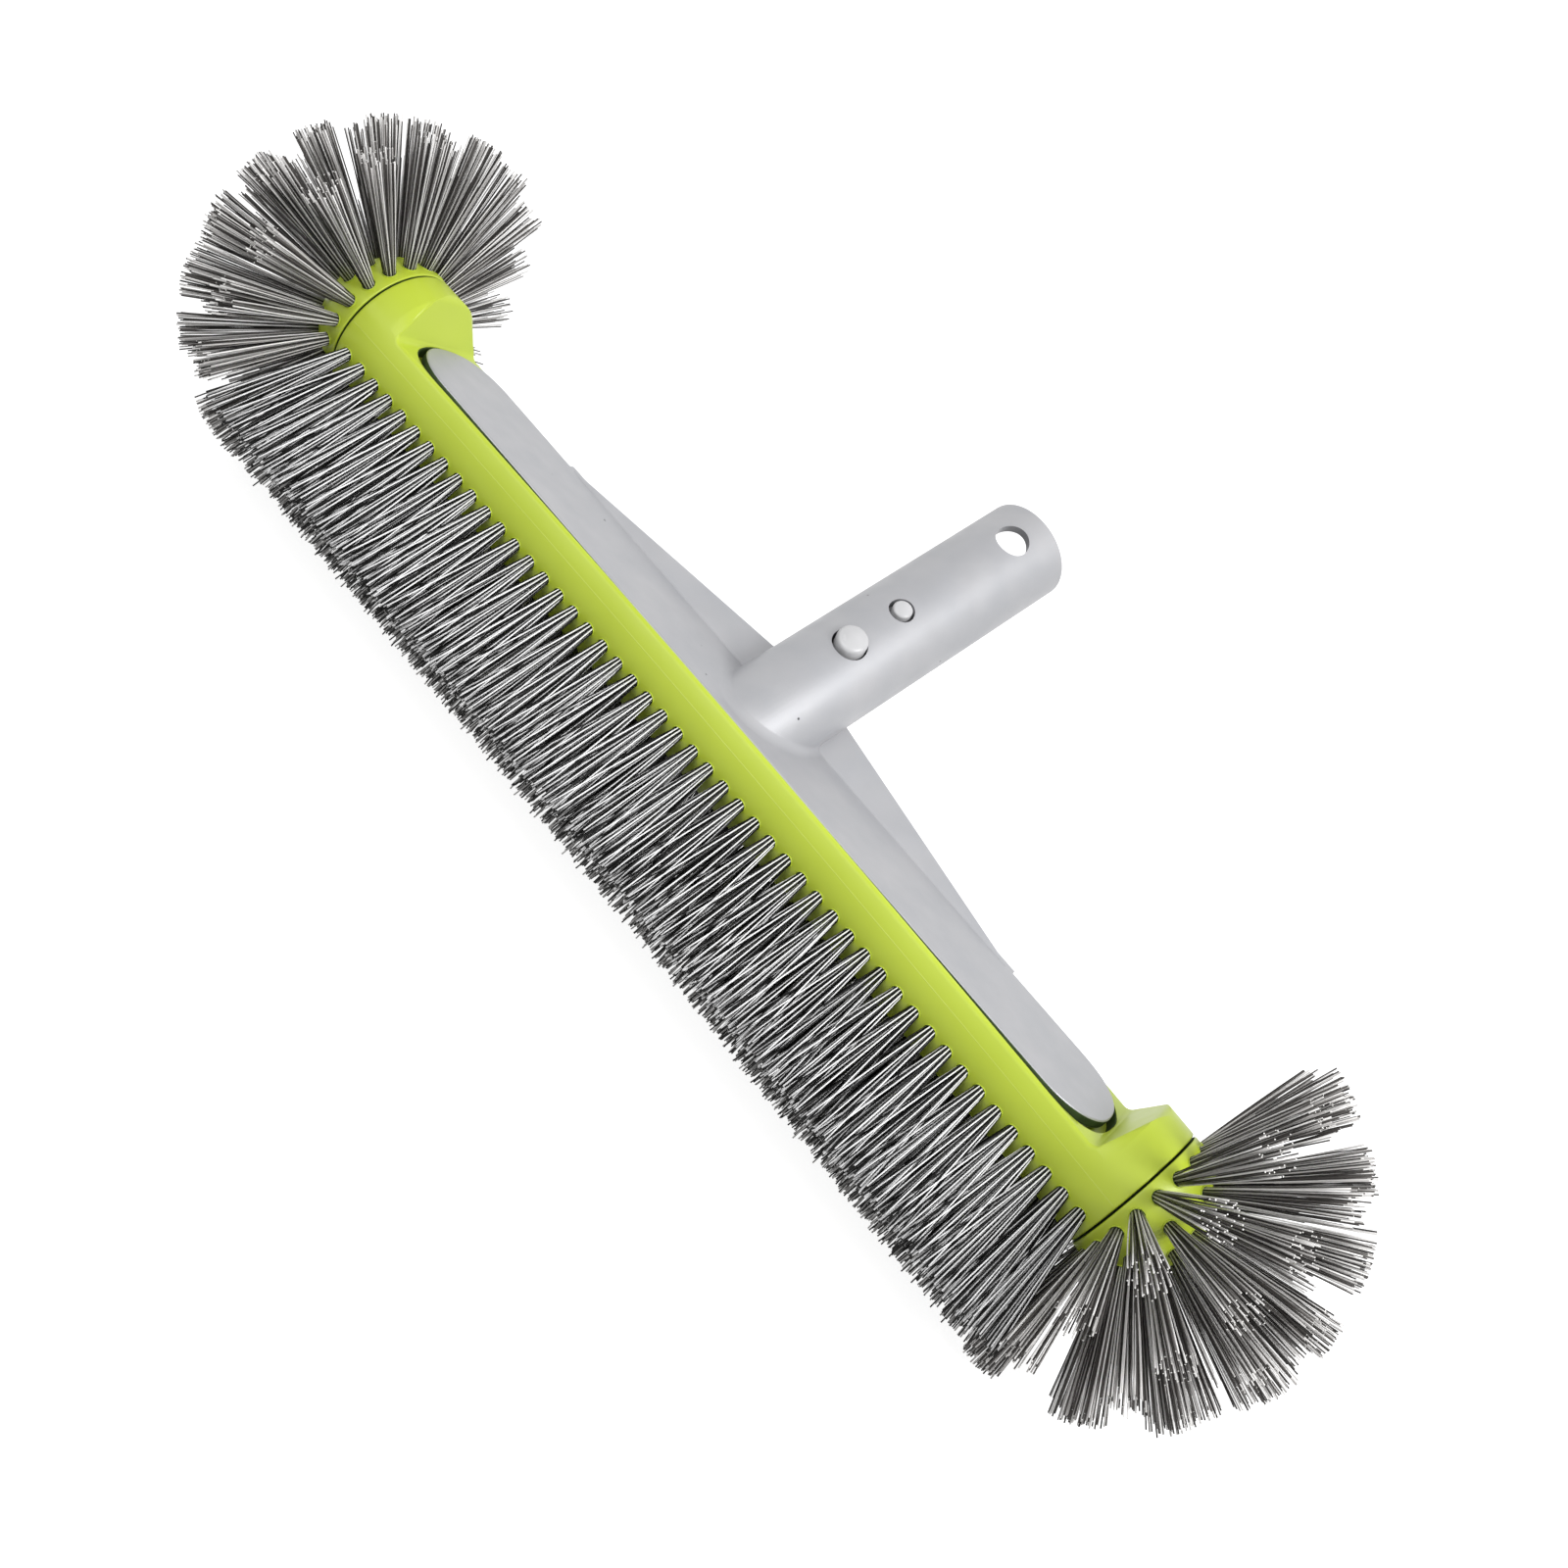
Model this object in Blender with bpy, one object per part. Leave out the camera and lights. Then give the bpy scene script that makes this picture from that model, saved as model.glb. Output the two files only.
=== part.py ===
"""Pool wall brush: a round moulded bar with tuft-filled dome ends and a cast aluminium handle.

Every piece is built about the bar's own axis, which runs along X, and then hangs from one empty that
lifts it, so that the world origin is below the middle of the brush as it stands on its bristle tips.
The front of the brush faces -Y, the bristles point down, and the handle tube leans back to +Y.
"""

import math

import bmesh
import bpy
import numpy as np
from mathutils import Matrix, Vector

MM = 0.001
GAP = 0.3 * MM  # clearance between two separate pieces

# Bar: a full cylinder at its two collars, cut flat between them
BAR_R = 19.6 * MM
BAR_HALF = 149.6 * MM
BAR_STEPS = 48
FLANGE_TOP = 5.7 * MM  # height of the flat above the bar's axis
COLLAR_INNER = 140.8 * MM  # where the collar's edge starts, from the middle
SADDLE_HALF = 134.2 * MM  # where the flat ends and the ramp to the collar starts
RAMP_FILLET = 2.5 * MM
POCKET_HALF_LENGTH = 137.4 * MM
CAVITY_R = 13.6 * MM
CAVITY_HALF = 116.0 * MM
SPIGOT_R = 15.0 * MM
SPIGOT_LENGTH = 6.0 * MM

# The bar's bow: how far it has dropped, at these distances from its middle, both ways
BOW_PLACES = (0.0, 50.0 * MM, 100.0 * MM, 150.0 * MM)
BOW_DROPS = (0.0, 0.2 * MM, 0.75 * MM, 1.7 * MM)

# Handle casting
PLATE_HALF_LENGTH = 135.0 * MM
PLATE_HALF_WIDTH = 17.0 * MM
PLATE_THICK = 3.0 * MM
PLATE_CHAMFER = 0.7 * MM
WING_OUTER = 89.4 * MM  # where the wings start, from the middle
WING_INNER = 12.5 * MM
WING_LOW = 4.3 * MM  # heights along the tube, from its foot
WING_START = 6.6 * MM
WING_TOP = 18.0 * MM
WING_NEAR = 3.0 * MM  # the wings' front face, behind the tube's axis
WING_THICK = 1.9 * MM
TAB_HALF = 91.5 * MM
TAB_REACH = 18.7 * MM
TUBE_LEAN = math.radians(50.0)  # from the vertical, towards +Y
TUBE_FOOT = Vector((0, 9.24 * MM, 4.14 * MM))  # point on the tube's axis, from the bar's axis
TUBE_LENGTH = 101.2 * MM
TUBE_R = 14.3 * MM
BORE_R = 11.8 * MM
BORE_FLOOR = 12.0 * MM
HEEL = 8.9 * MM  # where the tube is cut square behind the flange
TUBE_STEPS = 40
HOLE_STEPS = 24

# Holes in the tube, as distances from its free end
HANG_HOLE = (12.7 * MM, 5.0 * MM)
PEG_HOLE = (57.0 * MM, 3.7 * MM)
BUTTON_HOLE = (76.4 * MM, 5.0 * MM)

# Spring clip inside the tube: a bend and two arms, each with a button and a peg
CLIP_WIDTH = 8.0 * MM
CLIP_THICK = 1.6 * MM
BEND_RADIUS = 5.5 * MM
CLIP_HINGE = 42.0 * MM  # from the tube's free end
ARM_FLARE = 52.0 * MM
ARM_OFFSET = 9.6 * MM
ARM_END = 83.0 * MM
BUTTON_R = 4.4 * MM
BUTTON_TOP = 17.2 * MM  # from the tube's axis
PEG_R = 2.8 * MM
PEG_TOP = 15.2 * MM
BUTTON_LEAD = 0.3 * MM  # the button and the peg sit this far towards the bend in their holes

# Tufts
TUFT_PITCH = 6.05 * MM
TUFTS_IN_ROW = 49
ROW_COUNT = 5
ROW_ROOT_SPAN = math.radians(67.0)  # outer rows' roots, from straight down
ROW_LEAN_SPAN = math.radians(38.0)  # outer rows' lean, from straight down
ROW_LENGTHS = (37.0 * MM, 35.0 * MM, 34.0 * MM, 35.0 * MM, 37.0 * MM)
CAP_LENGTH = 37.0 * MM
CAP_RINGS = ((12.0, 18), (34.0, 16), (56.0, 11), (78.0, 4))  # latitude in degrees, tufts
ROOT_WIDTH = 3.0 * MM
ROOT_DEPTH = 2.2 * MM
GROOVE_DEPTH = 2.6 * MM
ROOT_STEP = 3.4 * MM

# End caps
CAP_START = 149.9 * MM
CAP_CENTRE = 149.75 * MM
CAP_WALL_R = 13.0 * MM
CAP_STEPS = 32

# Screws that hold the flange, driven from the bristle side
SCREW_PLACES = ((-95.0, -5.1), (-40.0, 5.1), (40.0, 5.1), (95.0, -5.1))
SCREW_HEAD_R = 2.8 * MM
SCREW_HEAD_BOTTOM = -18.6 * MM
SCREW_HEAD_TOP = -16.2 * MM
SCREW_SHANK_R = 1.45 * MM
SCREW_TIP = 0.6 * MM
BOSS_R = 4.0 * MM

# Where the bar's axis lies above the origin
AXIS_HEIGHT = 57.68 * MM
AXIS_FORWARD = 19.79 * MM

MATERIALS = {
    "green_plastic": ((0.47, 0.60, 0.05), 0.38, 0.0),
    "cast_aluminium": ((0.62, 0.63, 0.66), 0.45, 0.6),
    "clip_nylon": ((0.85, 0.86, 0.87), 0.35, 0.0),
    "bristle": ((0.30, 0.29, 0.29), 0.5, 0.0),
    "steel": ((0.60, 0.60, 0.60), 0.3, 1.0),
}


def clear_scene():
    for item in list(bpy.data.objects):
        bpy.data.objects.remove(item)


def make_materials():
    made = {}
    for name, (color, roughness, metallic) in MATERIALS.items():
        material = bpy.data.materials.new(name)
        material.use_nodes = True
        shader = material.node_tree.nodes["Principled BSDF"]
        shader.inputs["Base Color"].default_value = (*color, 1.0)
        shader.inputs["Roughness"].default_value = roughness
        shader.inputs["Metallic"].default_value = metallic
        made[name] = material
    return made


def object_from(bm, name):
    """A linked object that holds the bmesh, which is freed."""
    bmesh.ops.recalc_face_normals(bm, faces=bm.faces)
    mesh = bpy.data.meshes.new(name)
    bm.to_mesh(mesh)
    bm.free()
    item = bpy.data.objects.new(name, mesh)
    bpy.context.scene.collection.objects.link(item)
    return item


def prism(outline, axis, low, high):
    """An outline of 2D points, extruded along axis X, Y or Z between two places."""
    bm = bmesh.new()
    order = {"X": (2, 0, 1), "Y": (0, 2, 1), "Z": (0, 1, 2)}[axis]
    loops = []
    for depth in (low, high):
        loop = []
        for first, second in outline:
            values = (first, second, depth)
            loop.append(bm.verts.new([values[index] for index in order]))
        loops.append(loop)
    bm.faces.new(loops[0])
    bm.faces.new(loops[1])
    count = len(outline)
    for index in range(count):
        after = (index + 1) % count
        bm.faces.new((loops[0][index], loops[0][after], loops[1][after], loops[1][index]))
    return object_from(bm, "prism")


def lathe(profile, steps):
    """A closed solid turned about Z from a profile of (radius, height) points, its two ends on the axis."""
    bm = bmesh.new()
    rings = []
    for radius, height in profile:
        if radius == 0:
            rings.append([bm.verts.new((0, 0, height))])
            continue
        ring = []
        for step in range(steps):
            angle = 2 * math.pi * step / steps
            ring.append(bm.verts.new((radius * math.cos(angle), radius * math.sin(angle), height)))
        rings.append(ring)
    for lower, upper in zip(rings, rings[1:]):
        for step in range(steps):
            after = (step + 1) % steps
            if len(lower) == 1:
                bm.faces.new((lower[0], upper[step], upper[after]))
            elif len(upper) == 1:
                bm.faces.new((lower[step], lower[after], upper[0]))
            else:
                bm.faces.new((lower[step], lower[after], upper[after], upper[step]))
    return object_from(bm, "lathe")


def rod(radius, low, high, steps=24):
    return lathe([(0, low), (radius, low), (radius, high), (0, high)], steps)


def moved(item, matrix):
    item.data.transform(matrix)
    return item


def combine(target, tool, operation):
    """Applies one exact boolean to the target and removes the tool."""
    bpy.context.view_layer.update()
    modifier = target.modifiers.new("combine", "BOOLEAN")
    modifier.operation = operation
    modifier.solver = "EXACT"
    modifier.object = tool
    depsgraph = bpy.context.evaluated_depsgraph_get()
    mesh = bpy.data.meshes.new_from_object(target.evaluated_get(depsgraph))
    target.modifiers.clear()
    target.data = mesh
    bpy.data.objects.remove(tool)
    return target


def cut(target, tool):
    return combine(target, tool, "DIFFERENCE")


def join(target, tool):
    return combine(target, tool, "UNION")


def finish(item, name, material, parent, location=(0, 0, 0)):
    """Names a finished piece, shades it and hangs it from its parent."""
    item.name = name
    item.data.name = name
    item.data.materials.clear()
    item.data.materials.append(material)
    item.data.shade_smooth()
    item.data.set_sharp_from_angle(angle=math.radians(35))
    item.location = location
    item.parent = parent
    return item


def arc(centre, radius, start, end, steps):
    """Points on an arc, its angles in degrees from the first axis towards the second."""
    points = []
    for step in range(steps + 1):
        angle = math.radians(start + (end - start) * step / steps)
        points.append((centre[0] + radius * math.cos(angle), centre[1] + radius * math.sin(angle)))
    return points


def slot_outline(half_length, half_width, steps=14):
    """A straight slot with half-round ends, in the XY plane."""
    centre = half_length - half_width
    right = arc((centre, 0), half_width, -90, 90, steps)
    left = arc((-centre, 0), half_width, 90, 270, steps)
    return right + left


def row_angles(row):
    """Where a row's roots lie round the bar and how far its tufts lean, from straight down towards -Y."""
    share = 1 - 2 * row / (ROW_COUNT - 1)
    return ROW_ROOT_SPAN * share, ROW_LEAN_SPAN * share


def down_and_front(angle):
    return Vector((0, -math.sin(angle), -math.cos(angle)))


def tube_matrix():
    """From the tube's own frame, +Z to its free end and -Y to its front, to the bar's."""
    return Matrix.Translation(TUBE_FOOT) @ Matrix.Rotation(-TUBE_LEAN, 4, "X")


# ---------------------------------------------------------------- bar


def bow_drop(along):
    return float(np.interp(abs(along), BOW_PLACES, BOW_DROPS))


def bowed(item):
    """Lets a piece that runs along the bar follow its bow, in straight stretches."""
    bm = bmesh.new()
    bm.from_mesh(item.data)
    for place in BOW_PLACES[:-1]:
        for along in sorted({-place, place}):
            everything = bm.verts[:] + bm.edges[:] + bm.faces[:]
            bmesh.ops.bisect_plane(bm, geom=everything, plane_co=(along, 0, 0), plane_no=(1, 0, 0))
    for vertex in bm.verts:
        vertex.co.z -= bow_drop(vertex.co.x)
    bm.to_mesh(item.data)
    bm.free()
    return item


def saddle_tool():
    """What is cut off the top of the bar between its collars, with a ramp up to each."""
    right = arc((SADDLE_HALF, FLANGE_TOP + RAMP_FILLET), RAMP_FILLET, -90, -18, 5)
    right += [(COLLAR_INNER, BAR_R), (COLLAR_INNER, BAR_R * 1.4)]
    left = [(-along, height) for along, height in reversed(right)]
    return prism(right + left, "Y", -BAR_R * 1.2, BAR_R * 1.2)


def cavity_tool():
    """The hollow under the flange: round below, open above."""
    outline = arc((0, 0), CAVITY_R, 180, 360, 16) + [(CAVITY_R, BAR_R), (-CAVITY_R, BAR_R)]
    return prism(outline, "X", -CAVITY_HALF, CAVITY_HALF)


def groove_tool(row):
    """The channel that one row of tufts is anchored in."""
    root_angle, lean = row_angles(row)
    root = down_and_front(root_angle) * BAR_R
    out = down_and_front(lean)
    side = Vector((0, out.z, -out.y))
    half = ROOT_WIDTH / 2 + GAP
    outline = []
    for depth, across in ((-GROOVE_DEPTH, -half), (-GROOVE_DEPTH, half), (8 * MM, half), (8 * MM, -half)):
        point = root + out * depth + side * across
        outline.append((point.y, point.z))
    reach = TUFT_PITCH * (TUFTS_IN_ROW - 1) / 2 + ROOT_STEP / 2 + GAP
    return prism(outline, "X", -reach, reach)


def make_bar():
    turn = Matrix.Rotation(math.pi / 2, 4, "Y")
    bar = moved(rod(BAR_R, -BAR_HALF, BAR_HALF, BAR_STEPS), turn)
    cut(bar, saddle_tool())
    pocket_floor = FLANGE_TOP - PLATE_THICK - GAP
    pocket = slot_outline(POCKET_HALF_LENGTH, PLATE_HALF_WIDTH + GAP)
    cut(bar, prism(pocket, "Z", pocket_floor, BAR_R))
    back_relief = ((-TAB_HALF - GAP, 0), (TAB_HALF + GAP, 0), (TAB_HALF + GAP, BAR_R), (-TAB_HALF - GAP, BAR_R))
    cut(bar, prism(back_relief, "Z", pocket_floor, BAR_R))
    cut(bar, cavity_tool())
    for row in range(ROW_COUNT):
        cut(bar, groove_tool(row))
    for side in (-1, 1):
        low, high = sorted((side * (BAR_HALF - SPIGOT_LENGTH), side * BAR_HALF * 1.1))
        cut(bar, moved(rod(SPIGOT_R + GAP, low, high, CAP_STEPS), turn))
    for along, across in SCREW_PLACES:
        place = Matrix.Translation((along * MM, across * MM, 0))
        counterbore = rod(SCREW_HEAD_R + GAP, -BAR_R * 1.2, SCREW_HEAD_TOP + GAP, 16)
        cut(bar, moved(counterbore, place))
        cut(bar, moved(rod(SCREW_SHANK_R + GAP, -BAR_R, -CAVITY_R / 2, 12), place))
    return bowed(bar)


# ---------------------------------------------------------------- end caps


def dome_point(latitude, radius, across=0.0):
    """A point in a cap's profile: (radius, height), its height measured from the dome's flat side."""
    angle = math.radians(latitude)
    return (
        radius * math.cos(angle) - across * math.sin(angle),
        radius * math.sin(angle) + across * math.cos(angle),
    )


def make_cap():
    """A dome with a groove for each ring of tufts and a hollow spigot, its pole at +Z."""
    start = CAP_START - CAP_CENTRE
    half = ROOT_WIDTH / 2 + GAP
    half_angle = math.degrees(half / BAR_R)
    spigot_end = start - SPIGOT_LENGTH + 2 * GAP
    profile = [(0, CAP_WALL_R)]
    for latitude in (60, 30):
        profile.append(dome_point(latitude, CAP_WALL_R))
    profile += [(CAP_WALL_R, spigot_end), (SPIGOT_R, spigot_end), (SPIGOT_R, start), (BAR_R, start)]
    for latitude, _ in CAP_RINGS:
        profile.append(dome_point(latitude - half_angle, BAR_R))
        profile.append(dome_point(latitude, BAR_R - GROOVE_DEPTH, -half))
        profile.append(dome_point(latitude, BAR_R - GROOVE_DEPTH, half))
        profile.append(dome_point(latitude + half_angle, BAR_R))
    profile.append((0, BAR_R))
    return lathe(profile, CAP_STEPS)


# ---------------------------------------------------------------- tufts


def tuft_strip(stations, closed, length, tip_along, tip_across):
    """A root strip with a flared tuft on every second segment.

    A station is (place, out, side): a point on the surface, the tufts' direction there, and the
    direction across the strip."""
    bm = bmesh.new()
    sections = []
    for place, out, side in stations:
        section = []
        for across, depth in ((-1, -1), (1, -1), (1, 0), (-1, 0)):
            point = place + side * across * ROOT_WIDTH / 2 + out * depth * ROOT_DEPTH
            section.append(bm.verts.new(point))
        sections.append(section)
    count = len(sections)
    segments = count if closed else count - 1
    for index in range(segments):
        near = sections[index]
        far = sections[(index + 1) % count]
        for first, second in ((0, 1), (1, 2), (3, 0)):
            bm.faces.new((near[first], near[second], far[second], far[first]))
        if index % 2:
            bm.faces.new((near[2], near[3], far[3], far[2]))
            continue
        place_a, out_a, side_a = stations[index]
        place_b, out_b, side_b = stations[(index + 1) % count]
        out = (out_a + out_b).normalized()
        side = (side_a + side_b).normalized()
        along = (place_b - place_a).normalized()
        tip = (place_a + place_b) / 2 + out * length
        corners = []
        for step, across in ((-1, 1), (-1, -1), (1, -1), (1, 1)):
            corners.append(bm.verts.new(tip + along * step * tip_along + side * across * tip_across))
        roots = (near[2], near[3], far[3], far[2])
        for corner in range(4):
            after = (corner + 1) % 4
            bm.faces.new((roots[corner], roots[after], corners[after], corners[corner]))
        bm.faces.new(corners)
    if not closed:
        bm.faces.new(sections[0])
        bm.faces.new(sections[-1])
    return object_from(bm, "tufts")


def make_row(row):
    """One straight row; every second row is shifted by half a pitch and has one tuft fewer."""
    root_angle, lean = row_angles(row)
    root = down_and_front(root_angle) * BAR_R
    out = down_and_front(lean)
    side = Vector((0, out.z, -out.y))
    count = TUFTS_IN_ROW - row % 2
    stations = []
    for index in range(count):
        middle = (index - (count - 1) / 2) * TUFT_PITCH
        for edge in (-ROOT_STEP / 2, ROOT_STEP / 2):
            along = middle + edge
            stations.append((root + Vector((along, 0, -bow_drop(along))), out, side))
    return tuft_strip(stations, False, ROW_LENGTHS[row], 2.6 * MM, 3.2 * MM)


def make_ring(latitude, count):
    """One ring of tufts round a cap's dome, its pole at +Z."""
    stations = []
    tilt = math.radians(latitude)
    radius = BAR_R * math.cos(tilt)
    half_step = ROOT_STEP / 2 / radius
    for index in range(count):
        middle = 2 * math.pi * index / count
        for edge in (-half_step, half_step):
            angle = middle + edge
            round_x = math.cos(angle)
            round_y = math.sin(angle)
            out = Vector((math.cos(tilt) * round_x, math.cos(tilt) * round_y, math.sin(tilt)))
            side = Vector((-math.sin(tilt) * round_x, -math.sin(tilt) * round_y, math.cos(tilt)))
            stations.append((out * BAR_R, out, side))
    return tuft_strip(stations, True, CAP_LENGTH, 3.4 * MM, 3.4 * MM)


# ---------------------------------------------------------------- handle


def make_plate():
    """The flange: a plate with half-round ends and chamfered top edges."""
    bm = bmesh.new()
    levels = (
        (FLANGE_TOP - PLATE_THICK, 0.0),
        (FLANGE_TOP - PLATE_CHAMFER, 0.0),
        (FLANGE_TOP, PLATE_CHAMFER),
    )
    loops = []
    for height, inset in levels:
        outline = slot_outline(PLATE_HALF_LENGTH - inset, PLATE_HALF_WIDTH - inset)
        loops.append([bm.verts.new((along, across, height)) for along, across in outline])
    bm.faces.new(loops[0])
    bm.faces.new(loops[-1])
    count = len(loops[0])
    for lower, upper in zip(loops, loops[1:]):
        for index in range(count):
            after = (index + 1) % count
            bm.faces.new((lower[index], lower[after], upper[after], upper[index]))
    return object_from(bm, "plate")


def make_wing(side):
    """One wing: a thin sheet that leans with the tube, its inner end inside the tube's wall."""
    outline = (
        (side * WING_INNER, WING_LOW),
        (side * WING_OUTER, WING_LOW),
        (side * WING_OUTER, WING_START),
        (side * WING_INNER, WING_TOP),
    )
    return moved(prism(outline, "Y", WING_NEAR, WING_NEAR + WING_THICK), tube_matrix())


def foot_tool():
    """What is cut off the tube's foot: all below the flange's top, and a square heel behind it."""
    back = tube_matrix().to_3x3() @ Vector((0, 1, 0))
    axis = tube_matrix().to_3x3() @ Vector((0, 0, 1))
    level = FLANGE_TOP - PLATE_THICK / 2
    heel = TUBE_FOOT + axis * HEEL
    corner = heel + back * ((level - heel.z) / back.z)
    far = corner + back * 60 * MM
    outline = (
        (-60 * MM, level),
        (corner.y, corner.z),
        (far.y, far.z),
        (-60 * MM, far.z),
    )
    return prism(outline, "X", -30 * MM, 30 * MM)


def make_tube():
    """The tube, drilled and cut to fit on the flange."""
    rim = 1.0 * MM
    below = -30 * MM
    profile = [
        (0, below),
        (TUBE_R, below),
        (TUBE_R, TUBE_LENGTH - rim),
        (TUBE_R - rim, TUBE_LENGTH),
        (BORE_R, TUBE_LENGTH),
        (BORE_R, BORE_FLOOR),
        (0, BORE_FLOOR),
    ]
    tube = lathe(profile, TUBE_STEPS)
    for distance, radius in (HANG_HOLE, PEG_HOLE, BUTTON_HOLE):
        drill = rod(radius, -TUBE_R * 1.3, TUBE_R * 1.3, HOLE_STEPS)
        half_step = Matrix.Rotation(math.pi / HOLE_STEPS, 4, "Z")
        across = Matrix.Rotation(math.pi / 2, 4, "X")
        place = Matrix.Translation((0, 0, TUBE_LENGTH - distance))
        cut(tube, moved(drill, place @ across @ half_step))
    moved(tube, tube_matrix())
    return cut(tube, foot_tool())


def make_boss(along, across):
    """A cast boss under the flange, its foot shaped to the bar's hollow."""
    place = Matrix.Translation((along * MM, across * MM, 0))
    boss = moved(rod(BOSS_R, -CAVITY_R, FLANGE_TOP - PLATE_THICK / 2, 16), place)
    turn = Matrix.Rotation(math.pi / 2, 4, "Y")
    hollow = moved(rod(CAVITY_R - GAP, -CAVITY_HALF, CAVITY_HALF, 32), turn)
    return combine(boss, hollow, "INTERSECT")


def make_handle():
    handle = make_plate()
    tab = (
        (-TAB_HALF, PLATE_HALF_WIDTH - 3 * MM),
        (TAB_HALF, PLATE_HALF_WIDTH - 3 * MM),
        (TAB_HALF, TAB_REACH),
        (-TAB_HALF, TAB_REACH),
    )
    tab_low = FLANGE_TOP - PLATE_THICK + GAP / 2
    join(handle, prism(tab, "Z", tab_low, FLANGE_TOP - PLATE_CHAMFER / 2))
    for side in (-1, 1):
        join(handle, make_wing(side))
    join(handle, make_tube())
    for along, across in SCREW_PLACES:
        join(handle, make_boss(along, across))
    for along, across in SCREW_PLACES:
        place = Matrix.Translation((along * MM, across * MM, 0))
        cut(handle, moved(rod(SCREW_SHANK_R + GAP, -BAR_R, SCREW_TIP + GAP, 12), place))
    return handle


# ---------------------------------------------------------------- spring clip


def strip_outline(path, thick):
    """The outline of a strip of even thickness that follows a path of 2D points."""
    upper = []
    lower = []
    for index, point in enumerate(path):
        before = Vector(path[max(index - 1, 0)])
        after = Vector(path[min(index + 1, len(path) - 1)])
        heading = (after - before).normalized()
        normal = Vector((-heading.y, heading.x)) * thick / 2
        upper.append(tuple(Vector(point) + normal))
        lower.append(tuple(Vector(point) - normal))
    return upper + lower[::-1]


def make_clip_bend():
    """The U at the end of the clip, its two ends short of the arms, in the tube's frame."""
    height = TUBE_LENGTH - CLIP_HINGE
    path = arc((0, height + GAP), BEND_RADIUS, 0, 180, 12)
    bend = prism(strip_outline(path, CLIP_THICK), "X", -CLIP_WIDTH / 2, CLIP_WIDTH / 2)
    return bend


def make_clip_arm(side):
    """One arm about its own end at the bend. side is -1 for the front arm and 1 for the back one."""
    start = -BEND_RADIUS
    flare = (-(ARM_OFFSET - BEND_RADIUS), -(ARM_FLARE - CLIP_HINGE))
    end = (flare[0], -(ARM_END - CLIP_HINGE))
    path = [(0, 0), flare, end]
    outline = [(across, along) for across, along in strip_outline(path, CLIP_THICK)]
    arm = prism(outline, "X", -CLIP_WIDTH / 2, CLIP_WIDTH / 2)
    for hole, radius, top in ((PEG_HOLE, PEG_R, PEG_TOP), (BUTTON_HOLE, BUTTON_R, BUTTON_TOP)):
        crown = 0.35 * radius
        base = ARM_OFFSET
        profile = [
            (0, base),
            (radius, base),
            (radius, top - crown),
            (radius * 0.8, top - crown * 0.35),
            (radius * 0.45, top - crown * 0.08),
            (0, top),
        ]
        stud = lathe(profile, 20)
        height = CLIP_HINGE - hole[0] + BUTTON_LEAD
        place = Matrix.Translation((0, -start, height)) @ Matrix.Rotation(math.pi / 2, 4, "X")
        join(arm, moved(stud, place))
    if side > 0:
        moved(arm, Matrix.Rotation(math.pi, 4, "Z"))
    return arm


# ---------------------------------------------------------------- screws


def make_screw():
    head_low = SCREW_HEAD_BOTTOM
    head_high = SCREW_HEAD_TOP
    profile = [
        (0, head_low),
        (SCREW_HEAD_R * 0.6, head_low + 0.1 * MM),
        (SCREW_HEAD_R, head_low + 0.9 * MM),
        (SCREW_HEAD_R, head_high),
        (SCREW_SHANK_R, head_high),
        (SCREW_SHANK_R, SCREW_TIP - 2 * MM),
        (0, SCREW_TIP),
    ]
    screw = lathe(profile, 16)
    long = 1.6 * MM
    short = 0.4 * MM
    cross = (
        (long, short), (short, short), (short, long), (-short, long),
        (-short, short), (-long, short), (-long, -short), (-short, -short),
        (-short, -long), (short, -long), (short, -short), (long, -short),
    )
    return cut(screw, prism(cross, "Z", head_low - 1 * MM, head_low + 1.2 * MM))


# ---------------------------------------------------------------- assembly


def main():
    clear_scene()
    materials = make_materials()
    axis = bpy.data.objects.new("bar_axis", None)
    axis.location = (0, -AXIS_FORWARD, AXIS_HEIGHT)
    bpy.context.scene.collection.objects.link(axis)
    tube_axis = bpy.data.objects.new("tube_axis", None)
    tube_axis.location = TUBE_FOOT
    tube_axis.rotation_euler = (-TUBE_LEAN, 0, 0)
    tube_axis.parent = axis
    bpy.context.scene.collection.objects.link(tube_axis)

    finish(make_bar(), "bar", materials["green_plastic"], axis)
    for row in range(ROW_COUNT):
        finish(make_row(row), f"tuft_row_{row + 1}", materials["bristle"], axis)
    for side, label in ((-1, "left"), (1, "right")):
        turn = Matrix.Rotation(side * math.pi / 2, 4, "Y")
        place = (side * CAP_CENTRE, 0, -bow_drop(CAP_CENTRE))
        cap = moved(make_cap(), turn)
        finish(cap, f"end_cap_{label}", materials["green_plastic"], axis, place)
        for number, (latitude, count) in enumerate(CAP_RINGS, 1):
            ring = moved(make_ring(latitude, count), turn)
            finish(ring, f"cap_tufts_{label}_{number}", materials["bristle"], axis, place)
    finish(make_handle(), "handle_casting", materials["cast_aluminium"], axis)
    for number, (along, across) in enumerate(SCREW_PLACES, 1):
        place = (along * MM, across * MM, -bow_drop(along * MM))
        finish(make_screw(), f"flange_screw_{number}", materials["steel"], axis, place)

    hinge_height = TUBE_LENGTH - CLIP_HINGE
    finish(make_clip_bend(), "clip_bend", materials["clip_nylon"], tube_axis)
    for side, label in ((-1, "front"), (1, "back")):
        place = (0, side * BEND_RADIUS, hinge_height)
        finish(make_clip_arm(side), f"clip_arm_{label}", materials["clip_nylon"], tube_axis, place)


main()
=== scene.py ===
"""Pool wall brush: the looks of the finished part, on a pale floor in soft studio light.

The fine bar, caps, casting, clip arms and bristles are built here about the bar's own axis, which
bows a little towards the bristle tips, and they stand for the plain solids of the fixed frame.
"""

import math

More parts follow.
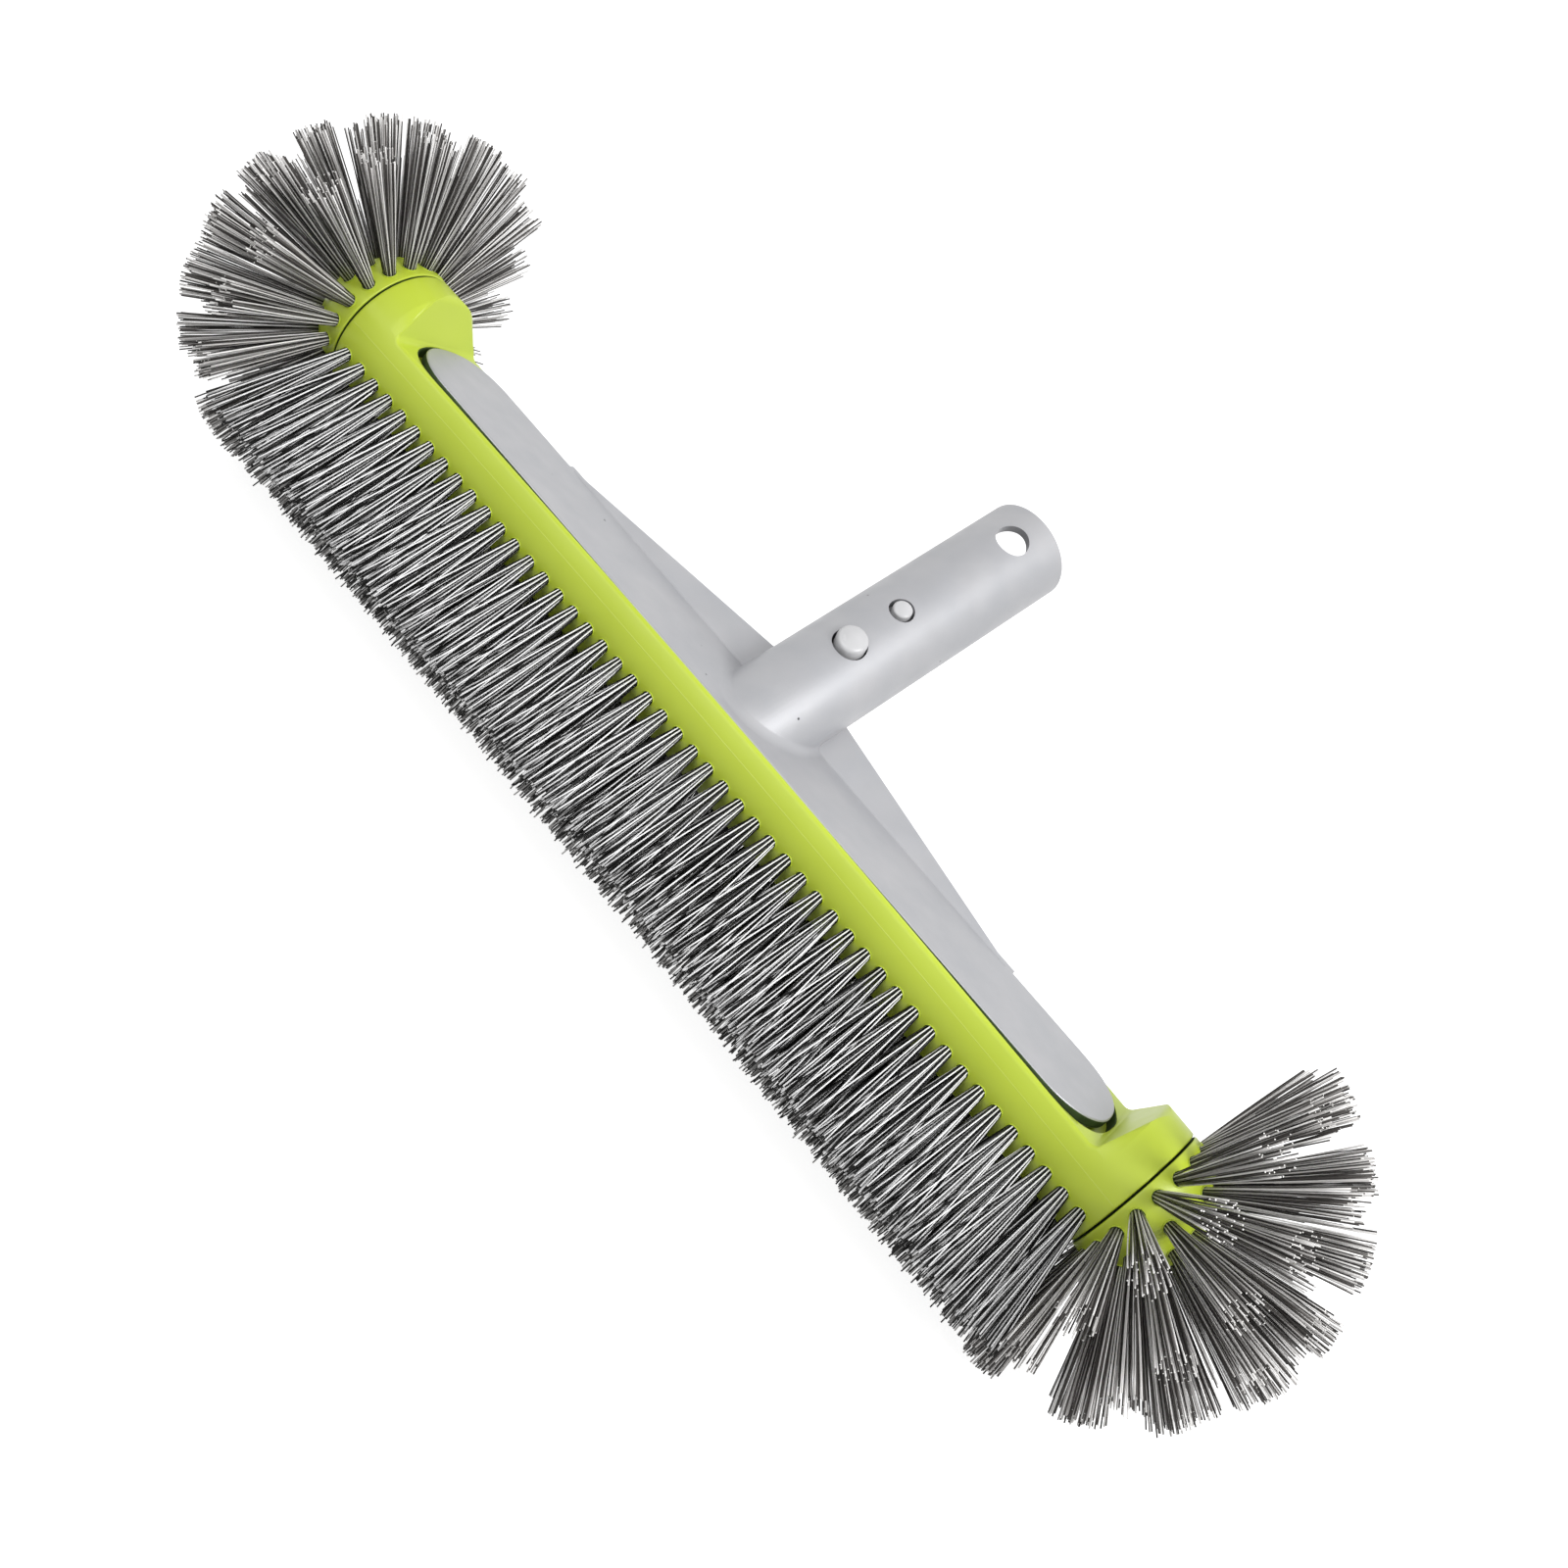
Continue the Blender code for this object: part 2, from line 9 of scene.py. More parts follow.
import bmesh
import bpy
import numpy as np
from mathutils import Matrix, Vector


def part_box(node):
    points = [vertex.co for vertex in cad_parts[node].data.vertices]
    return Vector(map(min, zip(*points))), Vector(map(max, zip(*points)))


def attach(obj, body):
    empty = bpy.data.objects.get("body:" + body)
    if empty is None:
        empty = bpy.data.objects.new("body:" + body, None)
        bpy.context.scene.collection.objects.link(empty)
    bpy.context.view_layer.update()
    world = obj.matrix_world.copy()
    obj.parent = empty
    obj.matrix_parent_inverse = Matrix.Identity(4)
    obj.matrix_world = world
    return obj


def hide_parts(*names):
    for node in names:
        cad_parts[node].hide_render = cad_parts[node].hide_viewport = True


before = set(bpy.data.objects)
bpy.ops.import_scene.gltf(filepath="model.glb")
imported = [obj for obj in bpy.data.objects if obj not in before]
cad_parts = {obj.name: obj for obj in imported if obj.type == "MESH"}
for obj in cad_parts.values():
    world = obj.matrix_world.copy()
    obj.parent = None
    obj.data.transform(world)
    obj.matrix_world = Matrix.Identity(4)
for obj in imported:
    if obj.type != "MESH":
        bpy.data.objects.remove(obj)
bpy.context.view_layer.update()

MM = 0.001
GAP = 0.3 * MM
HAIR = 0.01 * MM

# The bar's place and size, from the frame. Its box reaches the lowest point of the bow at its ends.
BOW = 1.7 * MM
BAR_LOW, BAR_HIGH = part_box("bar")
BAR_HALF = BAR_HIGH.x
BAR_END = BAR_HIGH.x - 0.15 * MM
BAR_R = (BAR_HIGH.y - BAR_LOW.y) / 2
AXIS = Vector((0, (BAR_HIGH.y + BAR_LOW.y) / 2, BAR_LOW.z + BAR_R + BOW))
BOW_REACH = 150 * MM

# Bar: a round bar with a flat saddle on top, a pocket in the saddle and a collar at each end
FLANGE_TOP = 5.7 * MM
SADDLE_HALF = 134.2 * MM
COLLAR_INNER = 140.8 * MM
RAMP_FILLET = 2.5 * MM
RAMP_SLOPE = math.radians(72)
RAMP_CROWN = 2.8 * MM
LIP_R = 1.3 * MM
CREST_R = 2.4 * MM
POCKET_HALF_LENGTH = 135.9 * MM
POCKET_HALF_WIDTH = 17.6 * MM
POCKET_ROUNDNESS = 2.5
POCKET_FLOOR = 2.4 * MM
# The ledge is a narrow step just under the pocket's rim, in painted shade, so the gap beside the
# plate shows as a dark line.
LEDGE_DEPTH = 0.3 * MM
LEDGE_WIDTH = 0.5 * MM
POCKET_CHAMFER = 0.1 * MM
EDGE = 0.35 * MM
RECESS_DEPTH = 5 * MM
SEAM = 0.6 * MM
PARTING_ANGLE = math.radians(2)
PARTING_WIDTH = 0.024
PARTING_RISE = 0.04 * MM
PARTING_SINK = 0.05 * MM
ARC_STEPS = 84
FILLET_STEPS = 6

# Handle casting. A hole is (distance from the tube's rim, radius).
PLATE_HALF_LENGTH = 134.5 * MM
PLATE_SHIFT = -0.5 * MM
PLATE_HALF_WIDTH = 17.0 * MM
PLATE_THICK = 3.0 * MM
PLATE_EDGE = 0.6 * MM
WING_OUTER = 89.4 * MM
WING_INNER = 12.5 * MM
WING_LOW = 3.0 * MM
WING_START = 6.6 * MM
WING_TOP = 18.0 * MM
WING_NEAR = 3.0 * MM
WING_THICK = 1.9 * MM
WING_EDGE = 0.4 * MM
TAB_HALF = 91.5 * MM
TAB_REACH = 18.7 * MM
TUBE_LEAN = math.radians(50)
TUBE_FOOT = Vector((0, 9.24 * MM, 4.14 * MM))
TUBE_LENGTH = 101.2 * MM
TUBE_R = 14.3 * MM
BORE_R = 11.8 * MM
BORE_FLOOR = 12.0 * MM
RIM_ROUND = 0.7 * MM
RIM_CHAMFER = 0.8 * MM
HEEL = 8.9 * MM
HANG_HOLE = (12.7 * MM, 5.0 * MM)
PEG_HOLE = (57.0 * MM, 3.7 * MM)
BUTTON_HOLE = (76.4 * MM, 5.0 * MM)
FOOT_FILLET = 3.0 * MM
WING_FILLET = 0.8 * MM

# Spring clip. Heights along the tube are from its rim.
CLIP_WIDTH = 8.0 * MM
CLIP_THICK = 1.6 * MM
CLIP_EDGE = 0.3 * MM
BEND_RADIUS = 5.5 * MM
CLIP_HINGE = 42.0 * MM
ARM_FLARE = 52.0 * MM
ARM_OFFSET = 9.6 * MM
ARM_END = 83.0 * MM
BUTTON_R = 4.4 * MM
BUTTON_TOP = 17.2 * MM
PEG_R = 2.8 * MM
PEG_TOP = 15.2 * MM
BUTTON_LEAD = 0.3 * MM

# Tufts. A ring is (latitude in degrees, number of tufts). The end leans are how far a row leans
# outward for each unit of its length, ROW_END_REACH past the place where that starts. A wander is
# the same for one tuft's random lean. A spread is how far the tips fan out, along and across.
TUFT_PITCH = 6.05 * MM
TUFTS_IN_ROW = 49
ROW_COUNT = 5
ROW_ROOT_SPAN = math.radians(67)
ROW_LEAN_SPAN = math.radians(38)
ROW_LENGTHS = (37.0 * MM, 35.0 * MM, 34.0 * MM, 35.0 * MM, 37.0 * MM)
ROW_END_LEANS = (0.17, 0.30, 0.34, 0.30, 0.17)
ROW_END_START = 130 * MM
ROW_END_REACH = 20 * MM
CAP_LENGTH = 37.0 * MM
CAP_RINGS = ((12.0, 18), (34.0, 16), (56.0, 11), (78.0, 4))
CAP_CENTRE = 149.75 * MM
SPIGOT_R = 15.0 * MM
SPIGOT_LENGTH = 4.0 * MM
RING_LEANS = (math.radians(-8), math.radians(-4), 0.0, 0.0)
RING_SEEDS = {"left": 94, "right": 95}
ROW_SEED = 40
TUFT_R = 1.45 * MM
TUFT_SINK = 1.5 * MM
TUFT_LAYERS = 5
FILAMENT_R = 0.2 * MM
LENGTH_SCATTER = 0.6 * MM
ROW_COLUMNS = 7
ROW_TIP_SPREAD = (6.6 * MM, 4.6 * MM)
ROW_STRAY = 0.3 * MM
ROW_WANDER = 0.012
CAP_COLUMNS = 9
CAP_TIP_SPREAD = (4.9 * MM, 4.9 * MM)
CAP_STRAY = 0.45 * MM
CAP_WANDER = 0.03
CAP_LENGTH_SCATTER = 0.5 * MM
CAP_TIP_SCATTER = 0.8 * MM
HOLE_RIM_R = 1.95 * MM
HOLE_RIM_THICK = 0.16 * MM
HOLE_FLOOR = 0.07 * MM

# Stage. A light is (name, place, size, power), and all of them look at LIGHT_TARGET.
FLOOR_R = 1.6
COVE_R = 1.4
FLOOR_DROP = 0.5 * MM
LIGHT_TARGET = (0, 0, 0.06)
LIGHTS = (
    ("key", (0.85, -0.5, 0.95), 0.7, 13),
    ("fill", (-0.35, -1.05, 0.5), 1.0, 5),
    ("top", (0.1, 0.5, 1.2), 1.0, 1),
)
CAMERA_LENS = 42.62
CAMERA_FROM_AXIS = Vector((0.119243, -0.434733, 0.158230))
CAMERA_RIGHT = Vector((0.63845, 0.39174, 0.66251))
CAMERA_UP = Vector((-0.73967, 0.07432, 0.66886))


# ---------------------------------------------------------------- materials


def new_material(name, color, roughness, metallic=0.0):
    """A material, with what is needed to add to its nodes."""
    material = bpy.data.materials.new(name)
    material.use_nodes = True
    nodes = material.node_tree.nodes
    shader = nodes["Principled BSDF"]
    shader.inputs["Base Color"].default_value = (*color, 1)
    shader.inputs["Roughness"].default_value = roughness
    shader.inputs["Metallic"].default_value = metallic
    return material, nodes, material.node_tree.links, shader


def noise(nodes, links, scale, detail=2.0, stretch=(1, 1, 1)):
    """A noise over the object, from 0 to 1."""
    coordinates = nodes.new("ShaderNodeTexCoord")
    mapping = nodes.new("ShaderNodeMapping")
    mapping.inputs["Scale"].default_value = stretch
    texture = nodes.new("ShaderNodeTexNoise")
    texture.inputs["Scale"].default_value = scale
    texture.inputs["Detail"].default_value = detail
    links.new(coordinates.outputs["Object"], mapping.inputs["Vector"])
    links.new(mapping.outputs["Vector"], texture.inputs["Vector"])
    return texture.outputs["Fac"]


def ramp(nodes, links, factor, stops):
    """Colours along a factor. A stop is (position, colour)."""
    node = nodes.new("ShaderNodeValToRGB")
    elements = node.color_ramp.elements
    while len(elements) < len(stops):
        elements.new(0.5)
    for element, (position, color) in zip(elements, stops):
        element.position = position
        element.color = (*color, 1)
    links.new(factor, node.inputs["Fac"])
    return node.outputs["Color"]


def spread(nodes, links, factor, low, high):
    """The factor's middle range, mapped to low .. high."""
    node = nodes.new("ShaderNodeMapRange")
    node.inputs["From Min"].default_value = 0.3
    node.inputs["From Max"].default_value = 0.7
    node.inputs["To Min"].default_value = low
    node.inputs["To Max"].default_value = high
    links.new(factor, node.inputs["Value"])
    return node.outputs["Result"]


def tint(nodes, links, shader, factor, low, high):
    """The base colour, from low to high with the factor."""
    color = ramp(nodes, links, factor, ((0.3, low), (0.7, high)))
    links.new(color, shader.inputs["Base Color"])


def roughen(nodes, links, shader, factor, low, high):
    """The roughness, from low to high with the factor."""
    links.new(spread(nodes, links, factor, low, high), shader.inputs["Roughness"])


def bump(nodes, links, shader, height, strength, distance):
    """A fine relief."""
    node = nodes.new("ShaderNodeBump")
    node.inputs["Strength"].default_value = strength
    node.inputs["Distance"].default_value = distance
    links.new(height, node.inputs["Height"])
    links.new(node.outputs["Normal"], shader.inputs["Normal"])


def green_plastic(name, low, high):
    """Moulded plastic with a slow drift in colour and gloss."""
    material, nodes, links, shader = new_material(name, low, 0.38)
    tint(nodes, links, shader, noise(nodes, links, 18, 3), low, high)
    roughen(nodes, links, shader, noise(nodes, links, 90, 3), 0.32, 0.42)
    bump(nodes, links, shader, noise(nodes, links, 900, 2), 0.06, 0.0002)
    return material


def cast_aluminium():
    """Satin metal with a faint mottle, a few dark pits and a fine grain."""
    material, nodes, links, shader = new_material("cast_aluminium", (0.46, 0.46, 0.475), 0.42, 0.45)
    mottle = noise(nodes, links, 60, 4)
    body = ramp(nodes, links, mottle, ((0.3, (0.385, 0.39, 0.41)), (0.7, (0.43, 0.43, 0.445))))
    cells = nodes.new("ShaderNodeTexVoronoi")
    cells.inputs["Scale"].default_value = 70
    coordinates = nodes.new("ShaderNodeTexCoord")
    links.new(coordinates.outputs["Object"], cells.inputs["Vector"])
    pit_stops = ((0.018, (0.08, 0.08, 0.08)), (0.03, (1, 1, 1)))
    pits = ramp(nodes, links, cells.outputs["Distance"], pit_stops)
    mix = nodes.new("ShaderNodeMix")
    mix.data_type = "RGBA"
    mix.blend_type = "MULTIPLY"
    mix.inputs["Factor"].default_value = 1.0
    links.new(body, mix.inputs["A"])
    links.new(pits, mix.inputs["B"])
    links.new(mix.outputs["Result"], shader.inputs["Base Color"])
    roughen(nodes, links, shader, noise(nodes, links, 140, 3), 0.40, 0.50)
    bump(nodes, links, shader, noise(nodes, links, 2600, 3), 0.12, 0.0002)
    return material


def painted_gap_shade():
    """The plate's narrow side: painted shade, near-black metal for the slot's shadow, with a
    painted green reflection of the plastic walls.
    """
    material, nodes, links, shader = new_material("painted_gap_shade", (0.03, 0.045, 0.02), 0.6, 0.3)
    tint(nodes, links, shader, noise(nodes, links, 300), (0.025, 0.045, 0.012), (0.045, 0.08, 0.02))
    return material


def clip_nylon():
    """White moulded nylon."""
    material, nodes, links, shader = new_material("clip_nylon", (0.54, 0.54, 0.55), 0.22)
    tint(nodes, links, shader, noise(nodes, links, 120, 2), (0.47, 0.47, 0.48), (0.53, 0.53, 0.54))
    roughen(nodes, links, shader, noise(nodes, links, 400, 2), 0.18, 0.28)
    return material


def bristle(name, dark, light, gloss):
    """Nylon filament, each one a little different in tone. The dark and light materials are painted
    shade and painted highlight.
    """
    material, nodes, links, shader = new_material(name, dark, 0.32)
    shader.inputs["Specular IOR Level"].default_value = gloss
    island = nodes.new("ShaderNodeNewGeometry").outputs["Random Per Island"]
    color = ramp(nodes, links, island, ((0.0, dark), (1.0, light)))
    links.new(color, shader.inputs["Base Color"])
    roughen(nodes, links, shader, noise(nodes, links, 700, 2), 0.25, 0.40)
    return material


def cut_end():
    """The pale cut ends of the filaments."""
    material, nodes, links, shader = new_material("cut_end", (0.7, 0.69, 0.67), 0.45)
    tint(nodes, links, shader, noise(nodes, links, 900, 1), (0.55, 0.54, 0.52), (0.85, 0.84, 0.82))
    return material


def shaded_green():
    """The green plastic painted near black, as the shade deep in a seam, a pocket or a tuft's hole.
    """
    material, nodes, links, shader = new_material("shaded_green", (0.03, 0.04, 0.01), 0.7)
    speckle = noise(nodes, links, 500, 2)
    tint(nodes, links, shader, speckle, (0.02, 0.045, 0.004), (0.055, 0.105, 0.01))
    return material


def steel():
    """The screws' bright steel, scratched along one way."""
    material, nodes, links, shader = new_material("steel", (0.6, 0.6, 0.6), 0.3, 1.0)
    scratches = noise(nodes, links, 500, 2, (1, 6, 1))
    tint(nodes, links, shader, scratches, (0.5, 0.5, 0.5), (0.68, 0.68, 0.68))
    roughen(nodes, links, shader, scratches, 0.25, 0.38)
    return material


def floor_paint():
    """A pale floor that glows a little, so that it stays white away from the lights."""
    material, nodes, links, shader = new_material("floor_paint", (0.9, 0.9, 0.9), 0.8)
    tint(nodes, links, shader, noise(nodes, links, 2, 2), (0.3, 0.3, 0.3), (0.34, 0.34, 0.34))
    shader.inputs["Emission Color"].default_value = (1, 1, 1, 1)
    shader.inputs["Emission Strength"].default_value = 0.9
    return material


GREEN = green_plastic("green_plastic", (0.405, 0.505, 0.024), (0.45, 0.555, 0.036))
# The flash's green is painted lighter, as a highlight along the parting line's ridge.
FLASH_HIGHLIGHT = green_plastic("green_flash_highlight", (0.44, 0.535, 0.05), (0.49, 0.585, 0.08))
CAST = cast_aluminium()
PAINTED_GAP_SHADE = painted_gap_shade()
NYLON = clip_nylon()
# Dark and light filaments alternate: the near-black ones are painted shade in the gaps between
# filaments, the near-white ones painted highlights, in place of one mid-grey nylon.
OUTER_BRISTLES = (
    bristle("outer_bristle_dark", (0.003, 0.003, 0.003), (0.02, 0.02, 0.02), 0.1),
    bristle("outer_bristle_light", (0.75, 0.75, 0.755), (0.98, 0.98, 0.985), 0.5),
)
# The inner rows are painted darker, as the shade that the outer rows throw on them.
SHADED_INNER_BRISTLES = (
    bristle("inner_bristle_dark", (0.003, 0.003, 0.003), (0.02, 0.019, 0.018), 0.1),
    bristle("inner_bristle_light", (0.2, 0.195, 0.19), (0.55, 0.54, 0.53), 0.4),
)
CAP_BRISTLES = (
    bristle("cap_bristle_dark", (0.008, 0.007, 0.006), (0.09, 0.083, 0.078), 0.15),
    bristle("cap_bristle_light", (0.3, 0.287, 0.278), (0.95, 0.935, 0.92), 0.5),
)
CUT_END = cut_end()
SHADE = shaded_green()
STEEL = steel()


# ---------------------------------------------------------------- mesh helpers


def mesh_object(name, points, faces, *materials):
    """A new object in the scene from points and faces."""
    mesh = bpy.data.meshes.new(name)
    mesh.from_pydata(points, [], faces)
    mesh.validate()
    item = bpy.data.objects.new(name, mesh)
    bpy.context.scene.collection.objects.link(item)
    for material in materials:
        mesh.materials.append(material)
    return item


def clean(item, angle=40):
    """Joins doubled points, turns the faces outward and shades them smooth, sharp past an angle."""
    bm = bmesh.new()
    bm.from_mesh(item.data)
    bmesh.ops.remove_doubles(bm, verts=bm.verts, dist=0.002 * MM)
    bmesh.ops.recalc_face_normals(bm, faces=bm.faces)
    bm.to_mesh(item.data)
    bm.free()
    item.data.shade_smooth()
    item.data.set_sharp_from_angle(angle=math.radians(angle))
    return item


def arc(centre, radius, start, end, steps):
    """Points on an arc, its angles in degrees from the first axis towards the second."""
    points = []
    for step in range(steps + 1):
        angle = math.radians(start + (end - start) * step / steps)
        points.append((centre[0] + radius * math.cos(angle), centre[1] + radius * math.sin(angle)))
    return points


def skin(rings, count):
    """The four-sided faces between rings of points, each ring closed and of the same count."""
    faces = []
    for low in range(0, (rings - 1) * count, count):
        for index in range(count):
            after = (index + 1) % count
            faces.append((low + index, low + after, low + count + after, low + count + index))
    return faces


def turned_points(profile, steps):
    """A ring of points about Z for each (radius, height) of a profile."""
    points = []
    for radius, height in profile:
        for step in range(steps):
            angle = 2 * math.pi * step / steps
            points.append((radius * math.cos(angle), radius * math.sin(angle), height))
    return points


def lathe(name, profile, steps, *materials):
    """A solid turned about Z from (radius, height) points, its two ends on the axis."""
    faces = skin(len(profile), steps)
    return clean(mesh_object(name, turned_points(profile, steps), faces, *materials))


def prism(name, outline, axis, low, high, *materials):
    """An outline of 2D points, extruded along axis X, Y or Z between two places."""
    order = {"X": (2, 0, 1), "Y": (0, 2, 1), "Z": (0, 1, 2)}[axis]
    points = []
    for depth in (low, high):
        for first, second in outline:
            values = (first, second, depth)
            points.append([values[index] for index in order])
    count = len(outline)
    faces = [list(range(count)), list(range(count, 2 * count))]
    for index in range(count):
        after = (index + 1) % count
        faces.append((index, after, count + after, count + index))
    return clean(mesh_object(name, points, faces, *materials))


def moved(item, matrix):
    """Moves a piece's points, not its origin."""
    item.data.transform(matrix)
    return item


def combine(target, tool, operation):
    """Applies one exact boolean to the target and removes the tool."""
    bpy.context.view_layer.update()
    modifier = target.modifiers.new("combine", "BOOLEAN")
    modifier.operation = operation
    modifier.solver = "EXACT"
    modifier.object = tool
    depsgraph = bpy.context.evaluated_depsgraph_get()
    mesh = bpy.data.meshes.new_from_object(target.evaluated_get(depsgraph))
    target.modifiers.clear()
    target.data = mesh
    bpy.data.objects.remove(tool)
    return target


def applied(item, modifier_type, **settings):
    """Adds one modifier and applies it."""
    modifier = item.modifiers.new("step", modifier_type)
    for key, value in settings.items():
        setattr(modifier, key, value)
    bpy.context.view_layer.update()
    depsgraph = bpy.context.evaluated_depsgraph_get()
    mesh = bpy.data.meshes.new_from_object(item.evaluated_get(depsgraph))
    item.modifiers.clear()
    item.data = mesh
    return item


def bevelled(item, width, segments=3):
    """Rounds a piece's sharp edges."""
    settings = {"limit_method": "ANGLE", "angle_limit": math.radians(30)}
    return applied(item, "BEVEL", width=width, segments=segments, **settings)


def merged(name, items):
    """One object from several."""
    bm = bmesh.new()
    for item in items:
        bm.from_mesh(item.data)
    mesh = bpy.data.meshes.new(name)
    bm.to_mesh(mesh)
    bm.free()
    for material in items[0].data.materials:
        mesh.materials.append(material)
    for item in items:
        bpy.data.objects.remove(item)
    result = bpy.data.objects.new(name, mesh)
    bpy.context.scene.collection.objects.link(result)
    return result


def place(item, body, slot, *nodes):
    """Hands a finished piece, built about the bar's axis, to the frame."""
    item.location = AXIS
    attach(item, body)
    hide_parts(*nodes)
    return item


def bow_drop(along):
    """How far the bar hangs below its middle."""
    return BOW * (along / BOW_REACH) ** 2


def tube_matrix():
    """From the tube's own frame, +Z to its free end and -Y to its front, to the bar's."""
    return Matrix.Translation(TUBE_FOOT) @ Matrix.Rotation(-TUBE_LEAN, 4, "X")


def down_and_front(angle):
    """A direction across the bar, turned from straight down towards the front."""
    return Vector((0, -math.sin(angle), -math.cos(angle)))


# ---------------------------------------------------------------- bar


def ramp_profile():
    """The saddle's height along the bar: flat, a fillet, the slanted ramp and its rounded top."""
    slope = math.degrees(RAMP_SLOPE)
    points = [(0.0, FLANGE_TOP), (SADDLE_HALF, FLANGE_TOP)]
    centre = (SADDLE_HALF, FLANGE_TOP + RAMP_FILLET)
    points += arc(centre, RAMP_FILLET, -90, slope - 90, 7)[1:]
    crown_x = COLLAR_INNER + RAMP_CROWN * math.tan(RAMP_SLOPE / 2)
    points += arc((crown_x, BAR_R - RAMP_CROWN), RAMP_CROWN, slope + 90, 90, 7)
    return points


RAMP = ramp_profile()
RAMP_X = [point[0] for point in RAMP]
RAMP_Z = [point[1] for point in RAMP]


def saddle_height(along):
    """How high the bar's top is at a place along it."""
    return min(float(np.interp(abs(along), RAMP_X, RAMP_Z)), BAR_R)


def pocket_half_width(along):
    """Half the pocket's width at a place along the bar, 0 past its blunt ends."""
    straight = POCKET_HALF_LENGTH - POCKET_HALF_WIDTH
    beyond = abs(along) - straight
    if beyond <= 0:
        return POCKET_HALF_WIDTH
    if beyond >= POCKET_HALF_WIDTH:
        return 0.0
    share = (beyond / POCKET_HALF_WIDTH) ** POCKET_ROUNDNESS
    return POCKET_HALF_WIDTH * (1 - share) ** (1 / POCKET_ROUNDNESS)


def half_section(top, height, half, radius):
    """Half a section of the bar, from the pocket's floor over the lip round to the lowest point.

    The lip is rounded, more so where the saddle's height rises to the collar.
    """
    rise = max(0.0, (height - FLANGE_TOP) / (BAR_R - FLANGE_TOP))
    lip = min(LIP_R + (CREST_R - LIP_R) * min(1.0, 2 * rise), radius - HAIR)
    lip_y = math.sqrt(max((radius - lip) ** 2 - (top - lip) ** 2, 0.0))
    tangent = math.degrees(math.atan2(top - lip, lip_y)) if lip_y > 0 else 90
    if half > 0:
        wall = min(half, lip_y)
        inside = max(0.0, wall - LEDGE_WIDTH)
        ledge = max(POCKET_FLOOR, top - LEDGE_DEPTH)
        points = [(0.0, POCKET_FLOOR), (inside, POCKET_FLOOR), (inside, ledge), (wall, ledge)]
        points += [(wall, top - POCKET_CHAMFER), (wall + POCKET_CHAMFER, top)]
    else:
        points = [(0.0, top)] * 6
    points += arc((lip_y, top - lip), lip, 90, tangent, FILLET_STEPS)
    for step in range(1, ARC_STEPS + 1):
        angle = math.radians(min(90 - 180 * step / ARC_STEPS, tangent))
        points.append((radius * math.cos(angle), radius * math.sin(angle)))
    return points


def bar_section(along, radius):
    """A closed section of the bar. The back lip makes way for the casting's tab."""
    half = pocket_half_width(along)
    height = saddle_height(along) * radius / BAR_R
    back_top = POCKET_FLOOR if abs(along) < TAB_HALF + GAP else height
    front = half_section(height, height, half, radius)
    back = half_section(back_top, height, half, radius)
    return [(-across, level) for across, level in front] + back[::-1][1:-1]


def bar_stations():
    """The places along the bar where a section is needed: close where its shape changes."""
    straight = POCKET_HALF_LENGTH - POCKET_HALF_WIDTH
    stations = set(RAMP_X[1:])
    for turn in range(0, 91, 6):
        stations.add(straight + POCKET_HALF_WIDTH * math.sin(math.radians(turn)))
    stations.update(x * MM for x in range(0, 120, 4))
    stations.update((TAB_HALF + GAP - HAIR, TAB_HALF + GAP + HAIR))
    stations.update((BAR_END - 3 * EDGE, BAR_END - EDGE))
    right = sorted(stations)
    return [-x for x in reversed(right)] + right[1:]


def make_bar():
    """The outer skin of the bar, with rounded ends and a recess for each cap's spigot."""
    rows = [(along, bar_section(along, BAR_R)) for along in bar_stations()]
    for side in (-1, 1):
        extra = []
        for share in (0.5, 1.0):
            inset = EDGE * (1 - math.sqrt(1 - share**2)) if share < 1 else EDGE
            along = side * (BAR_END - EDGE + EDGE * share)
            extra.append((along, bar_section(BAR_HALF, BAR_R - inset)))
        recess = bar_section(BAR_HALF, SPIGOT_R + GAP)
        extra += [(side * BAR_END, recess), (side * (BAR_END - RECESS_DEPTH), recess)]
        if side > 0:
            rows += extra
        else:
            rows = extra[::-1] + rows
    points = []
    for along, section in rows:
        points += [(along, across, height - bow_drop(along)) for across, height in section]
    count = len(rows[0][1])
    faces = [list(range(count)), list(range((len(rows) - 1) * count, len(rows) * count))]
    faces += skin(len(rows), count)
    # The two end faces, the pocket's walls and ledge, and the faces in each end's seam and recess
    # take the painted shade material.
    slots = [1, 1]
    pocket_walls = (1, 2, 3, count - 4, count - 3, count - 2)
    seam_rows = (0, 1, len(rows) - 3, len(rows) - 2)
    for row in range(len(rows) - 1):
        slots += [int(index in pocket_walls or row in seam_rows) for index in range(count)]
    bar = mesh_object("bar_shell", points, faces, GREEN, SHADE)
    bar.data.polygons.foreach_set("material_index", slots)
    return clean(bar, 50)


def make_parting_line():
    """The thin moulding flash along the front of the bar, its lighter green a painted highlight."""
    points = []
    steps = 160
    half_width = PARTING_WIDTH / 2
    ridge = ((-PARTING_SINK, -half_width), (PARTING_RISE, 0.0), (-PARTING_SINK, half_width))
    for step in range(steps + 1):
        along = (2 * step / steps - 1) * (BAR_HALF - 1 * MM)
        for raised, shift in ridge:
            radius = BAR_R + raised
            angle = PARTING_ANGLE + shift
            height = radius * math.sin(angle) - bow_drop(along)
            points.append((along, -radius * math.cos(angle), height))
    faces = skin(steps + 1, 3)
    faces += [(0, 1, 2), (3 * steps, 3 * steps + 1, 3 * steps + 2)]
    return clean(mesh_object("bar_parting_line", points, faces, FLASH_HIGHLIGHT))


# ---------------------------------------------------------------- end caps


